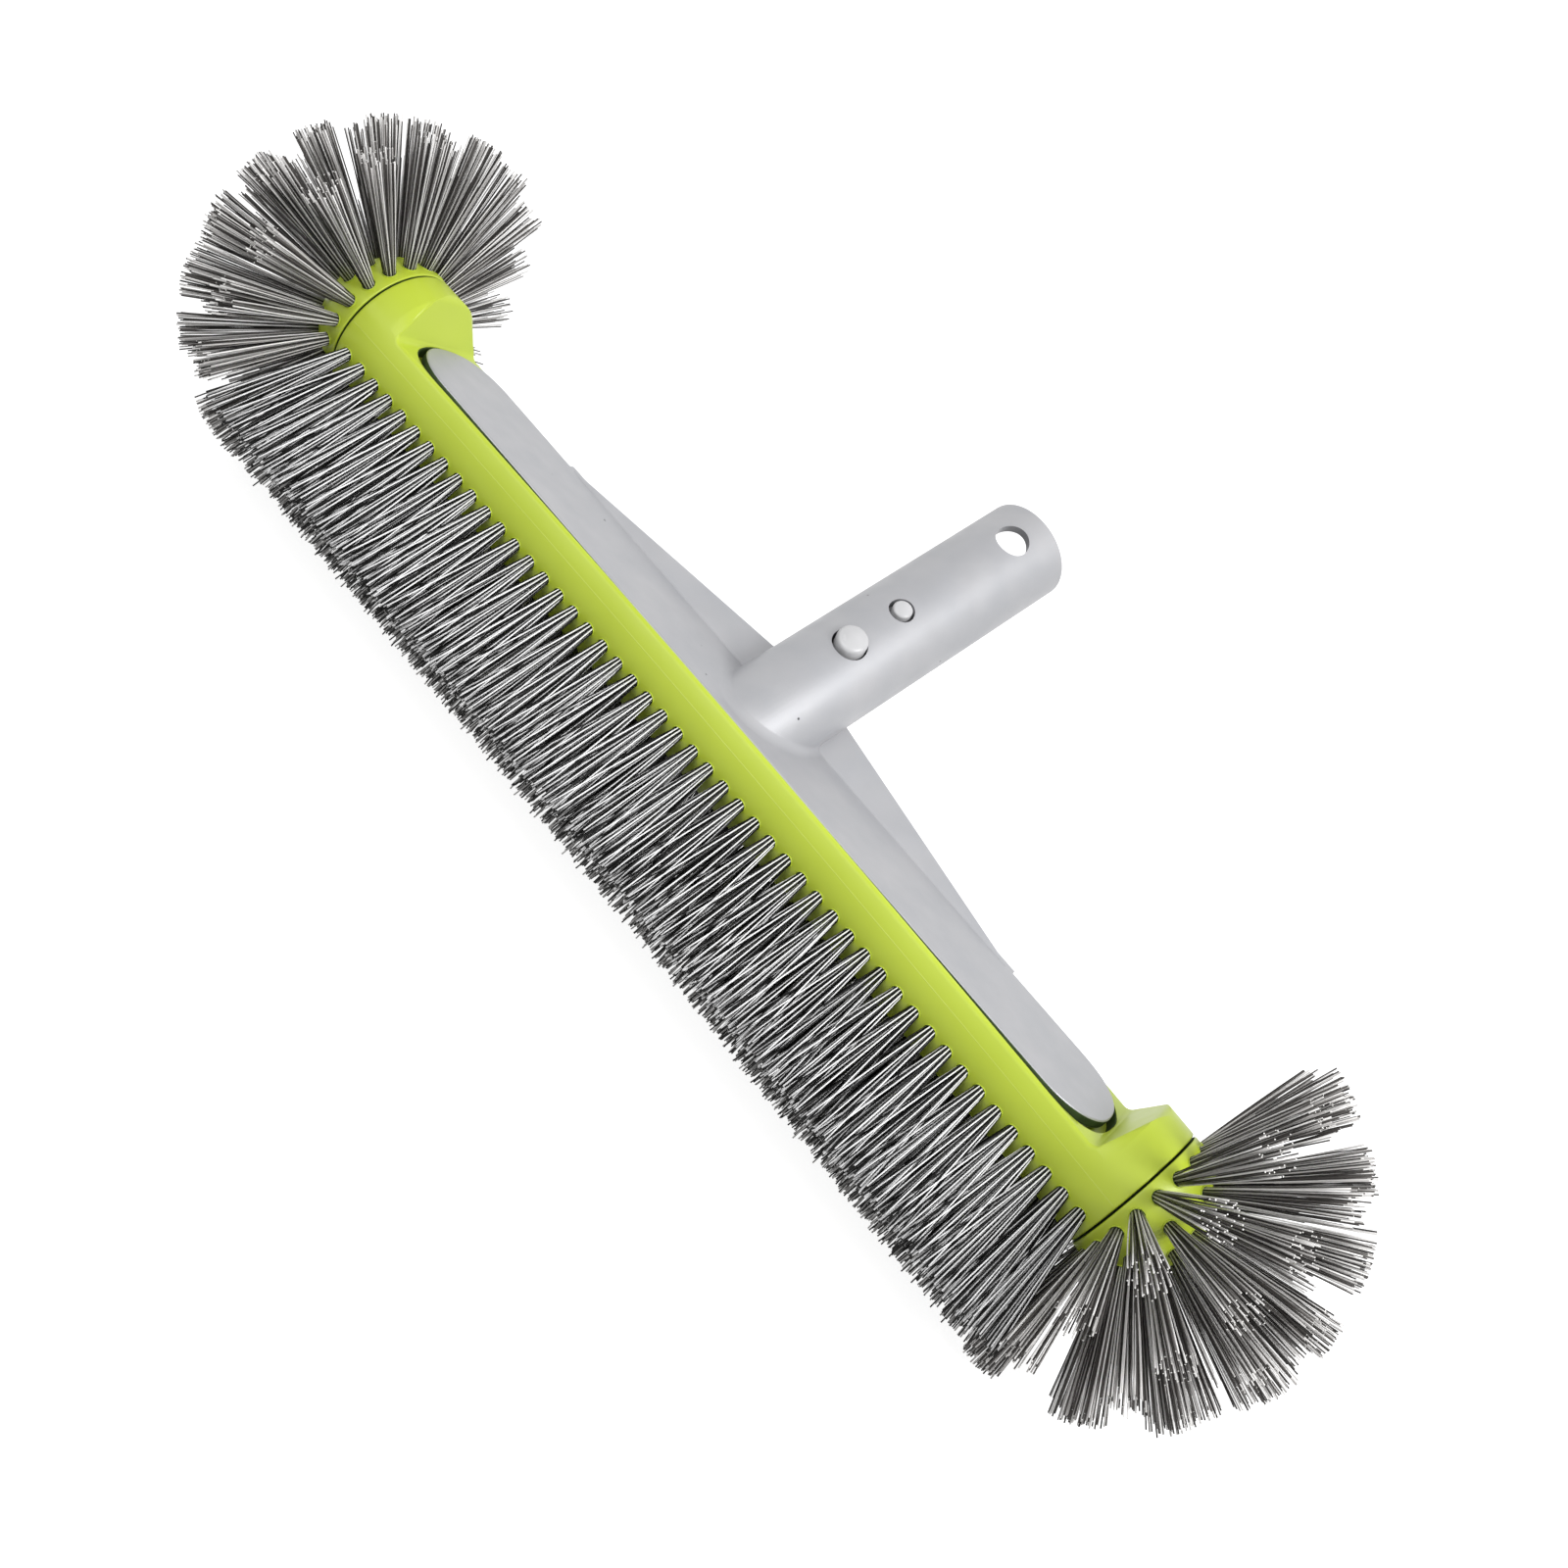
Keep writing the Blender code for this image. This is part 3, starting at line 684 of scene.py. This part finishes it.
def make_cap():
    """The dome and its spigot, pole at +Z, heights from the dome's own centre."""
    start = BAR_END + SEAM - CAP_CENTRE
    low = start - SPIGOT_LENGTH
    profile = [(0, low), (SPIGOT_R, low), (SPIGOT_R, start), (BAR_R - EDGE, start)]
    profile += arc((BAR_R - EDGE, start + EDGE), EDGE, -90, 0, 4)[1:]
    first = math.degrees(math.asin((start + 3 * EDGE) / BAR_R))
    profile += arc((0, 0), BAR_R, first, 90, 28)
    cap = lathe("cap_dome", profile, 96, GREEN, SHADE)
    # The spigot and the face at the seam take the painted shade material, for the seam's shadow.
    for face in cap.data.polygons:
        if face.center.z < start + HAIR:
            face.material_index = 1
    return cap


# ---------------------------------------------------------------- tufts


def tuft_spots(columns):
    """Places in a unit disc and shades, 0 or 1 in turn, in columns and layers. Shade 0 takes the
    painted dark filament, 1 the painted light one.
    """
    first, second, shades = [], [], []
    for column in range(columns):
        for layer in range(TUFT_LAYERS):
            rank = column * TUFT_LAYERS + layer
            x = 2 * (rank + 0.5) / (columns * TUFT_LAYERS) - 1
            first.append(x)
            second.append((2 * layer / (TUFT_LAYERS - 1) - 1) * 0.95 * math.sqrt(1 - x * x))
            shades.append((column + layer) % 2)
    return np.array(first), np.array(second), np.array(shades)


def filaments(name, roots, tips, bends, shades, materials):
    """Round filaments with cut ends. Each is one island: a bent tube of five sides."""
    sides, segments = 5, 5
    count = len(roots)
    heading = tips - roots
    heading /= np.linalg.norm(heading, axis=1, keepdims=True)
    across = np.cross(heading, (0.31, 0.77, 0.55))
    across /= np.linalg.norm(across, axis=1, keepdims=True)
    upright = np.cross(heading, across)
    rings = []
    for step in range(segments + 1):
        share = step / segments
        middle = roots * (1 - share) + tips * share + bends * (4 * share * (1 - share))
        for side in range(sides):
            angle = 2 * math.pi * side / sides
            outward = math.cos(angle) * across + math.sin(angle) * upright
            rings.append(middle + FILAMENT_R * outward)
    points = np.stack(rings, axis=1).reshape(-1, 3)
    per_filament = sides * (segments + 1)
    quads = np.array(skin(segments + 1, sides))
    starts = (np.arange(count) * per_filament)[:, None, None]
    walls = (starts + quads[None]).reshape(-1, 4).tolist()
    last = per_filament - sides
    ends = (starts[:, :, 0] + np.arange(last, per_filament)[None]).tolist()
    butts = (starts[:, :, 0] + np.arange(sides)[None, ::-1]).tolist()
    item = mesh_object(name, points.tolist(), walls + ends + butts, *materials, CUT_END)
    smooth = np.ones(len(walls) + 2 * count, bool)
    smooth[len(walls) :] = False
    item.data.polygons.foreach_set("use_smooth", smooth)
    slots = np.full(len(smooth), len(materials), np.int32)
    slots[: len(walls)] = np.repeat(shades, len(quads))
    item.data.polygons.foreach_set("material_index", slots)
    return item


def fan(random, root, out, along, side, length, columns, tip_spread, stray_size):
    """One tuft: its filaments' roots, tips, bends and shades."""
    first, second, shades = tuft_spots(columns)
    first, second = first[:, None], second[:, None]
    count = len(shades)
    out, along, side = (np.array(axis)[None] for axis in (out, along, side))
    root = np.array(root)[None]
    roots = root - out * TUFT_SINK + TUFT_R * (along * first + side * second)
    lengths = length + random.normal(0, LENGTH_SCATTER, (count, 1))
    stray = random.normal(0, stray_size, (2, count, 1))
    tips = root + out * lengths
    tips = (
        tips
        + along * (tip_spread[0] * first + stray[0])
        + side * (tip_spread[1] * second + stray[1])
    )
    sway = random.normal(0, stray_size / 3, (2, count, 1))
    bends = along * sway[0] + side * sway[1]
    return roots, tips, bends, shades


def join_tufts(name, tufts, materials):
    """One object from several tufts."""
    roots, tips, bends, shades = (np.concatenate(parts) for parts in zip(*tufts))
    return filaments(name, roots, tips, bends, shades, materials)


def row_frame(row):
    """A row's root, its tufts' direction and the direction across them, at the bar's middle."""
    share = 1 - 2 * row / (ROW_COUNT - 1)
    root = down_and_front(ROW_ROOT_SPAN * share) * BAR_R
    out = down_and_front(ROW_LEAN_SPAN * share)
    return root, out, Vector((0, out.z, -out.y))


def row_places(row):
    """Where a row's tufts are along the bar. Every second row has one less, and sits between."""
    count = TUFTS_IN_ROW - row % 2
    return [(index - (count - 1) / 2) * TUFT_PITCH for index in range(count)]


def make_row(row):
    """One row of tufts. Those near the bar's ends lean outward, and no tip goes below the floor."""
    random = np.random.default_rng(ROW_SEED + row)
    root, out, side = row_frame(row)
    tufts = []
    for middle in row_places(row):
        hole = root + Vector((middle, 0, -bow_drop(middle)))
        to_end = max(0.0, abs(middle) - ROW_END_START) / ROW_END_REACH
        outward = math.copysign(ROW_END_LEANS[row] * to_end, middle)
        lean = out + Vector((random.normal(0, ROW_WANDER) + outward, 0, 0))
        length = ROW_LENGTHS[row]
        roots, tips, bends, shades = fan(
            random, hole, lean, (1, 0, 0), side, length, ROW_COLUMNS, ROW_TIP_SPREAD, ROW_STRAY
        )
        tips[:, 2] = np.maximum(tips[:, 2], -AXIS.z)
        tufts.append((roots, tips, bends, shades))
    # Inner rows take the materials painted darker as shade.
    materials = OUTER_BRISTLES if row in (0, ROW_COUNT - 1) else SHADED_INNER_BRISTLES
    return join_tufts(f"row_bristles_{row + 1}", tufts, materials)


def ring_frames(latitude, count):
    """For each tuft of a ring: (out, along, side), the cap's pole at +Z."""
    tilt = math.radians(latitude)
    frames = []
    for index in range(count):
        angle = 2 * math.pi * index / count
        round_x, round_y = math.cos(angle), math.sin(angle)
        out = Vector((math.cos(tilt) * round_x, math.cos(tilt) * round_y, math.sin(tilt)))
        along = Vector((-round_y, round_x, 0))
        frames.append((out, along, out.cross(along)))
    return frames


def make_ring(side, side_name, number, latitude, count):
    """One ring of a cap's tufts, the pole at +Z. Low tufts lean towards the bar."""
    random = np.random.default_rng(RING_SEEDS[side_name] + 10 * number)
    tufts = []
    for out, along, upward in ring_frames(latitude, count):
        length = CAP_LENGTH + random.normal(0, CAP_LENGTH_SCATTER)
        turn = math.tan(RING_LEANS[number - 1] * (0.3 + 0.7 * side * out.x))
        lean = out + along * random.normal(0, CAP_WANDER)
        lean += upward * (random.normal(0, CAP_WANDER) + turn)
        roots, tips, bends, shades = fan(
            random, out * BAR_R, lean, along, upward, length, CAP_COLUMNS, CAP_TIP_SPREAD, CAP_STRAY
        )
        reach = np.linalg.norm(tips, axis=1, keepdims=True)
        wanted = BAR_R + length - 0.5 * MM + random.normal(0, CAP_TIP_SCATTER, reach.shape)
        tips *= np.minimum(wanted, BAR_R + CAP_LENGTH) / reach
        tufts.append((roots, tips, bends, shades))
    return join_tufts(f"cap_bristles_{side_name}_{number}", tufts, CAP_BRISTLES)


def rims(name, frames):
    """A raised lip round each tuft's root, and a disc in it painted dark as the hole's shade. A
    frame is (root, out).
    """
    steps, small = 20, 5
    lips, floors = [], []
    lip_faces, floor_faces = [], []
    for root, out in frames:
        to_world = out.to_track_quat("Z", "Y").to_matrix()
        start = len(lips)
        for step in range(steps):
            angle = 2 * math.pi * step / steps
            for turn in range(small):
                round_by = 2 * math.pi * turn / small
                radius = HOLE_RIM_R + HOLE_RIM_THICK * math.cos(round_by)
                height = HOLE_RIM_THICK * math.sin(round_by)
                local = Vector((radius * math.cos(angle), radius * math.sin(angle), height))
                lips.append(root + to_world @ local)
        for step in range(steps):
            here = start + step * small
            after = start + (step + 1) % steps * small
            for turn in range(small):
                next_turn = (turn + 1) % small
                lip_faces.append((here + turn, after + turn, after + next_turn, here + next_turn))
        start = len(floors)
        for step in range(steps):
            angle = 2 * math.pi * step / steps
            local = Vector((HOLE_RIM_R * math.cos(angle), HOLE_RIM_R * math.sin(angle), HOLE_FLOOR))
            floors.append(root + to_world @ local)
        floor_faces.append(list(range(start, start + steps)))
    shift = len(lips)
    floor_faces = [[index + shift for index in face] for face in floor_faces]
    item = mesh_object(name, lips + floors, lip_faces + floor_faces, GREEN, SHADE)
    item.data.shade_smooth()
    slots = np.zeros(len(lip_faces) + len(floor_faces), np.int32)
    slots[len(lip_faces) :] = 1
    item.data.polygons.foreach_set("material_index", slots)
    return item


def row_rim_frames():
    """Every tuft hole in the bar, as (root, outward)."""
    frames = []
    for row in range(ROW_COUNT):
        root, _, _ = row_frame(row)
        outward = root.normalized()
        for middle in row_places(row):
            frames.append((root + Vector((middle, 0, -bow_drop(middle))), outward))
    return frames


def cap_rim_frames():
    """Every tuft hole in a cap, as (root, outward)."""
    frames = []
    for latitude, count in CAP_RINGS:
        for out, _, _ in ring_frames(latitude, count):
            frames.append((out * BAR_R, out))
    return frames


# ---------------------------------------------------------------- handle casting


def plate_outline(steps=32):
    """A long slot. Its ends are round in front and blunt behind."""
    straight = PLATE_HALF_LENGTH - PLATE_HALF_WIDTH
    end = []
    for step in range(steps + 1):
        angle = math.radians(-90 + 180 * step / steps)
        power = 2 / (2 if angle < 0 else POCKET_ROUNDNESS)
        beyond = PLATE_HALF_WIDTH * abs(math.cos(angle)) ** power
        across = PLATE_HALF_WIDTH * abs(math.sin(angle)) ** power
        end.append((straight + beyond, math.copysign(across, angle)))
    other_end = [(-x, y) for x, y in reversed(end)]
    return [(x + PLATE_SHIFT, y) for x, y in end + other_end]


def make_tube():
    """The solid tube, cut to fit on the flange."""
    below, wide = -30 * MM, 60 * MM
    profile = [(0, below), (TUBE_R, below), (TUBE_R, TUBE_LENGTH - RIM_ROUND)]
    profile += arc((TUBE_R - RIM_ROUND, TUBE_LENGTH - RIM_ROUND), RIM_ROUND, 0, 90, 5)[1:]
    profile += [(0, TUBE_LENGTH)]
    tube = moved(lathe("tube", profile, 128), tube_matrix())
    back = tube_matrix().to_3x3() @ Vector((0, 1, 0))
    axis = tube_matrix().to_3x3() @ Vector((0, 0, 1))
    level = FLANGE_TOP - PLATE_THICK / 2
    heel = TUBE_FOOT + axis * HEEL
    corner = heel + back * ((level - heel.z) / back.z)
    far = corner + back * wide
    outline = ((-wide, level), (corner.y, corner.z), (far.y, far.z), (-wide, far.z))
    foot = prism("foot", outline, "X", -wide / 2, wide / 2)
    return combine(tube, foot, "DIFFERENCE")


def make_bore():
    """What is cut from the tube: its bore, its mouth's edge broken, and three cross holes."""
    above = TUBE_LENGTH + 5 * MM
    wide = BORE_R + RIM_CHAMFER
    chamfer_start = TUBE_LENGTH - 0.6 * MM
    profile = [(0, BORE_FLOOR), (BORE_R, BORE_FLOOR), (BORE_R, chamfer_start)]
    profile += [(wide, chamfer_start + RIM_CHAMFER), (wide, above), (0, above)]
    bore = lathe("bore", profile, 96)
    for distance, radius in (HANG_HOLE, PEG_HOLE, BUTTON_HOLE):
        reach = TUBE_R + 3 * MM
        drill = lathe("drill", [(0, -reach), (radius, -reach), (radius, reach), (0, reach)], 56)
        across = Matrix.Rotation(math.pi / 2, 4, "X")
        spot = Matrix.Translation((0, 0, TUBE_LENGTH - distance)) @ across
        combine(bore, moved(drill, spot), "UNION")
    return moved(bore, tube_matrix())


def make_wing(side):
    """A thin wing that rises from the plate to the tube's side."""
    outline = (
        (side * WING_INNER, WING_LOW),
        (side * WING_OUTER, WING_LOW),
        (side * WING_OUTER, WING_START),
        (side * WING_INNER, WING_TOP),
    )
    wing = prism("wing", outline, "Y", WING_NEAR, WING_NEAR + WING_THICK)
    return moved(wing, tube_matrix())


def fillet(name, corners, first, second, size):
    """A concave fillet along a run of corner points, between two surfaces' directions at each."""
    steps = 7
    sink, depth = 0.02 * MM, 1.2 * MM
    points = []
    for corner, to_first, to_second in zip(corners, first, second):
        inward = -(to_first + to_second).normalized()
        start = corner + to_first * size + inward * sink
        end = corner + to_second * size + inward * sink
        points.append(corner + inward * depth)
        for step in range(steps + 1):
            share = step / steps
            points.append(
                start * (1 - share) ** 2 + corner * 2 * share * (1 - share) + end * share**2
            )
    count = steps + 2
    faces = skin(len(corners), count)
    faces.append(list(range(count)))
    faces.append(list(range((len(corners) - 1) * count, len(corners) * count)))
    return clean(mesh_object(name, points, faces))


def foot_fillet():
    """Round the tube's foot, where it meets the plate."""
    axis = tube_matrix().to_3x3() @ Vector((0, 0, 1))
    start, sweep, steps = -200, 220, 40
    corners, to_plate, to_tube = [], [], []
    for step in range(steps + 1):
        angle = math.radians(start + sweep * step / steps)
        on_rim = tube_matrix() @ Vector((TUBE_R * math.cos(angle), TUBE_R * math.sin(angle), 0))
        corner = on_rim + axis * ((FLANGE_TOP - on_rim.z) / axis.z)
        outward = tube_matrix().to_3x3() @ Vector((math.cos(angle), math.sin(angle), 0))
        corners.append(corner)
        to_plate.append(Vector((outward.x, outward.y, 0)).normalized())
        to_tube.append(axis)
    return fillet("foot_fillet", corners, to_plate, to_tube, FOOT_FILLET)


def wing_fillet(side):
    """Along the line where a wing's front rises from the plate."""
    axis = tube_matrix().to_3x3() @ Vector((0, 0, 1))
    front = tube_matrix() @ Vector((0, WING_NEAR, 0))
    corner = front + axis * ((FLANGE_TOP - front.z) / axis.z)
    length = WING_OUTER - 8 * MM - WING_INNER
    corners = []
    for share in (0.0, 0.25, 0.5, 0.75, 1.0):
        corners.append(Vector((side * (WING_INNER + length * share), corner.y, corner.z)))
    count = len(corners)
    return fillet("wing_fillet", corners, [Vector((0, -1, 0))] * count, [axis] * count, WING_FILLET)


def make_handle():
    """The casting, fused as one skin, with soft inner corners."""
    low = FLANGE_TOP - PLATE_THICK
    handle = prism("plate", plate_outline(), "Z", low, FLANGE_TOP)
    bevelled(handle, PLATE_EDGE, 4)
    inner = PLATE_HALF_WIDTH - 3 * MM
    tab_outline = (
        (-TAB_HALF, inner), (TAB_HALF, inner), (TAB_HALF, TAB_REACH), (-TAB_HALF, TAB_REACH),
    )
    tab = prism("tab", tab_outline, "Z", low + GAP, FLANGE_TOP - 0.05 * MM)
    wings = [bevelled(make_wing(side), WING_EDGE) for side in (-1, 1)]
    for piece in (tab, *wings, make_tube(), foot_fillet(), wing_fillet(-1), wing_fillet(1)):
        combine(handle, piece, "UNION")
    combine(handle, make_bore(), "DIFFERENCE")
    handle.name = "handle"
    handle.data.materials.clear()
    for material in (CAST, PAINTED_GAP_SHADE):
        handle.data.materials.append(material)
    clean(handle, 32)
    # The plate's upright sides below its top edge, away from the tab, take the painted gap shade: a
    # dark line for the shadow in the slot.
    for face in handle.data.polygons:
        beside_tab = face.center.y < inner or abs(face.center.x) > TAB_HALF + 1 * MM
        upright = abs(face.normal.z) < 0.3 and low < face.center.z < FLANGE_TOP - 0.5 * PLATE_EDGE
        face.material_index = int(upright and beside_tab)
    return applied(handle, "WEIGHTED_NORMAL", keep_sharp=True, weight=80)


# ---------------------------------------------------------------- spring clip


def stud(radius, top):
    """A button or a peg: a round post with a domed top, along +Z."""
    crown = 0.42 * radius
    corner = 0.28 * radius
    profile = [(0, ARM_OFFSET), (radius, ARM_OFFSET), (radius, top - crown)]
    profile += arc((radius - corner, top - crown), corner, 0, 62, 6)[1:]
    end_r, end_z = profile[-1]
    for step in range(1, 9):
        share = step / 8
        profile.append((end_r * (1 - share), end_z + (top - end_z) * math.sin(share * math.pi / 2)))
    return lathe("stud", profile, 56, NYLON)


def make_clip_arm(side):
    """One arm of the clip, with its button and its peg. Side -1 is the front."""
    hinge = TUBE_LENGTH - CLIP_HINGE
    flare, end = TUBE_LENGTH - ARM_FLARE, TUBE_LENGTH - ARM_END
    path = [(BEND_RADIUS, hinge), (ARM_OFFSET, flare), (ARM_OFFSET, end)]
    outline = [(-across - CLIP_THICK / 2, height) for across, height in path]
    outline += [(-across + CLIP_THICK / 2, height) for across, height in path[::-1]]
    strip = prism("strip", outline, "X", -CLIP_WIDTH / 2, CLIP_WIDTH / 2, NYLON)
    bevelled(strip, CLIP_EDGE, 2)
    pieces = [strip]
    for hole, radius, top in ((PEG_HOLE, PEG_R, PEG_TOP), (BUTTON_HOLE, BUTTON_R, BUTTON_TOP)):
        height = TUBE_LENGTH - hole[0] + BUTTON_LEAD
        turn = Matrix.Rotation(math.pi / 2, 4, "X")
        pieces.append(moved(stud(radius, top), Matrix.Translation((0, 0, height)) @ turn))
    arm = merged("arm", pieces)
    if side > 0:
        moved(arm, Matrix.Rotation(math.pi, 4, "Z"))
    arm.data.shade_smooth()
    arm.data.set_sharp_from_angle(angle=math.radians(40))
    return moved(arm, tube_matrix())


# ---------------------------------------------------------------- stage


def make_floor():
    """A floor disc that curves up into a wide bowl."""
    profile = [(FLOOR_R * share, 0.0) for share in (0.0, 0.25, 0.5, 0.75, 1.0)]
    profile += arc((FLOOR_R, COVE_R), COVE_R, -90, 0, 24)[1:]
    profile += [(FLOOR_R + COVE_R, COVE_R + 1.0)]
    profile = [(radius, height - FLOOR_DROP) for radius, height in profile]
    steps = 96
    faces = skin(len(profile), steps)
    floor = mesh_object("studio_floor", turned_points(profile, steps), faces, floor_paint())
    bm = bmesh.new()
    bm.from_mesh(floor.data)
    bmesh.ops.remove_doubles(bm, verts=bm.verts, dist=1e-6)
    bm.to_mesh(floor.data)
    bm.free()
    floor.data.shade_smooth()
    floor.visible_diffuse = False


def area_light(name, location, size, power):
    """A round soft light."""
    light = bpy.data.lights.new(name, "AREA")
    light.shape = "DISK"
    light.size = size
    light.energy = power
    item = bpy.data.objects.new(name, light)
    item.location = location
    towards = Vector(LIGHT_TARGET) - Vector(location)
    item.rotation_euler = towards.to_track_quat("-Z", "Y").to_euler()
    bpy.context.scene.collection.objects.link(item)


def light_stage():
    """A sky that is darker below the horizon, and the soft lights."""
    world = bpy.data.worlds.new("studio")
    world.use_nodes = True
    nodes, links = world.node_tree.nodes, world.node_tree.links
    height = nodes.new("ShaderNodeSeparateXYZ")
    links.new(nodes.new("ShaderNodeTexCoord").outputs["Generated"], height.inputs["Vector"])
    sky_stops = ((0.0, (0.28, 0.28, 0.28)), (0.4, (0.78, 0.78, 0.78)))
    sky = ramp(nodes, links, height.outputs["Z"], sky_stops)
    links.new(sky, nodes["Background"].inputs["Color"])
    nodes["Background"].inputs["Strength"].default_value = 1.0
    bpy.context.scene.world = world
    for light in LIGHTS:
        area_light(*light)
    bpy.context.scene.view_settings.view_transform = "Standard"
    bpy.context.scene.view_settings.look = "None"


def make_camera():
    """The camera, held from the bar's axis and rolled, so the brush lies across the picture."""
    camera = bpy.data.cameras.new("camera")
    camera.lens = CAMERA_LENS
    camera.sensor_width = 36
    camera.clip_start = 0.01
    item = bpy.data.objects.new("camera", camera)
    bpy.context.scene.collection.objects.link(item)
    bpy.context.scene.camera = item
    right, up = CAMERA_RIGHT.normalized(), CAMERA_UP.normalized()
    back = right.cross(up)
    turn = Matrix((right, up, back)).transposed().to_4x4()
    item.matrix_world = Matrix.Translation(AXIS + CAMERA_FROM_AXIS) @ turn


# ---------------------------------------------------------------- assembly


place(make_bar(), "brush", "green_plastic", "bar")
place(make_parting_line(), "brush", "green_plastic")
place(rims("row_hole_rims", row_rim_frames()), "brush", "green_plastic")
for row in range(ROW_COUNT):
    place(make_row(row), "brush", "bristle", f"tuft_row_{row + 1}")
for side, label in ((-1, "left"), (1, "right")):
    to_end = Matrix.Translation((side * CAP_CENTRE, 0, -bow_drop(CAP_CENTRE)))
    to_end = to_end @ Matrix.Rotation(side * math.pi / 2, 4, "Y")
    cap = moved(make_cap(), to_end)
    cap.name = f"cap_dome_{label}"
    place(cap, "brush", "green_plastic", f"end_cap_{label}")
    place(moved(rims(f"cap_hole_rims_{label}", cap_rim_frames()), to_end), "brush", "green_plastic")
    for number, (latitude, count) in enumerate(CAP_RINGS, 1):
        ring = moved(make_ring(side, label, number, latitude, count), to_end)
        place(ring, "brush", "bristle", f"cap_tufts_{label}_{number}")
place(make_handle(), "brush", "cast_aluminium", "handle_casting")
for side, label in ((-1, "front"), (1, "back")):
    arm = make_clip_arm(side)
    arm.name = f"button_arm_{label}"
    place(arm, f"{label}_arm", "clip_nylon", f"clip_arm_{label}")

for name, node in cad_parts.items():
    is_screw = name.startswith("flange_screw")
    if is_screw or name == "clip_bend":
        node.data.materials.clear()
        node.data.materials.append(STEEL if is_screw else NYLON)
        node.data.shade_smooth()
        node.data.set_sharp_from_angle(angle=math.radians(35))

make_floor()
light_stage()
make_camera()
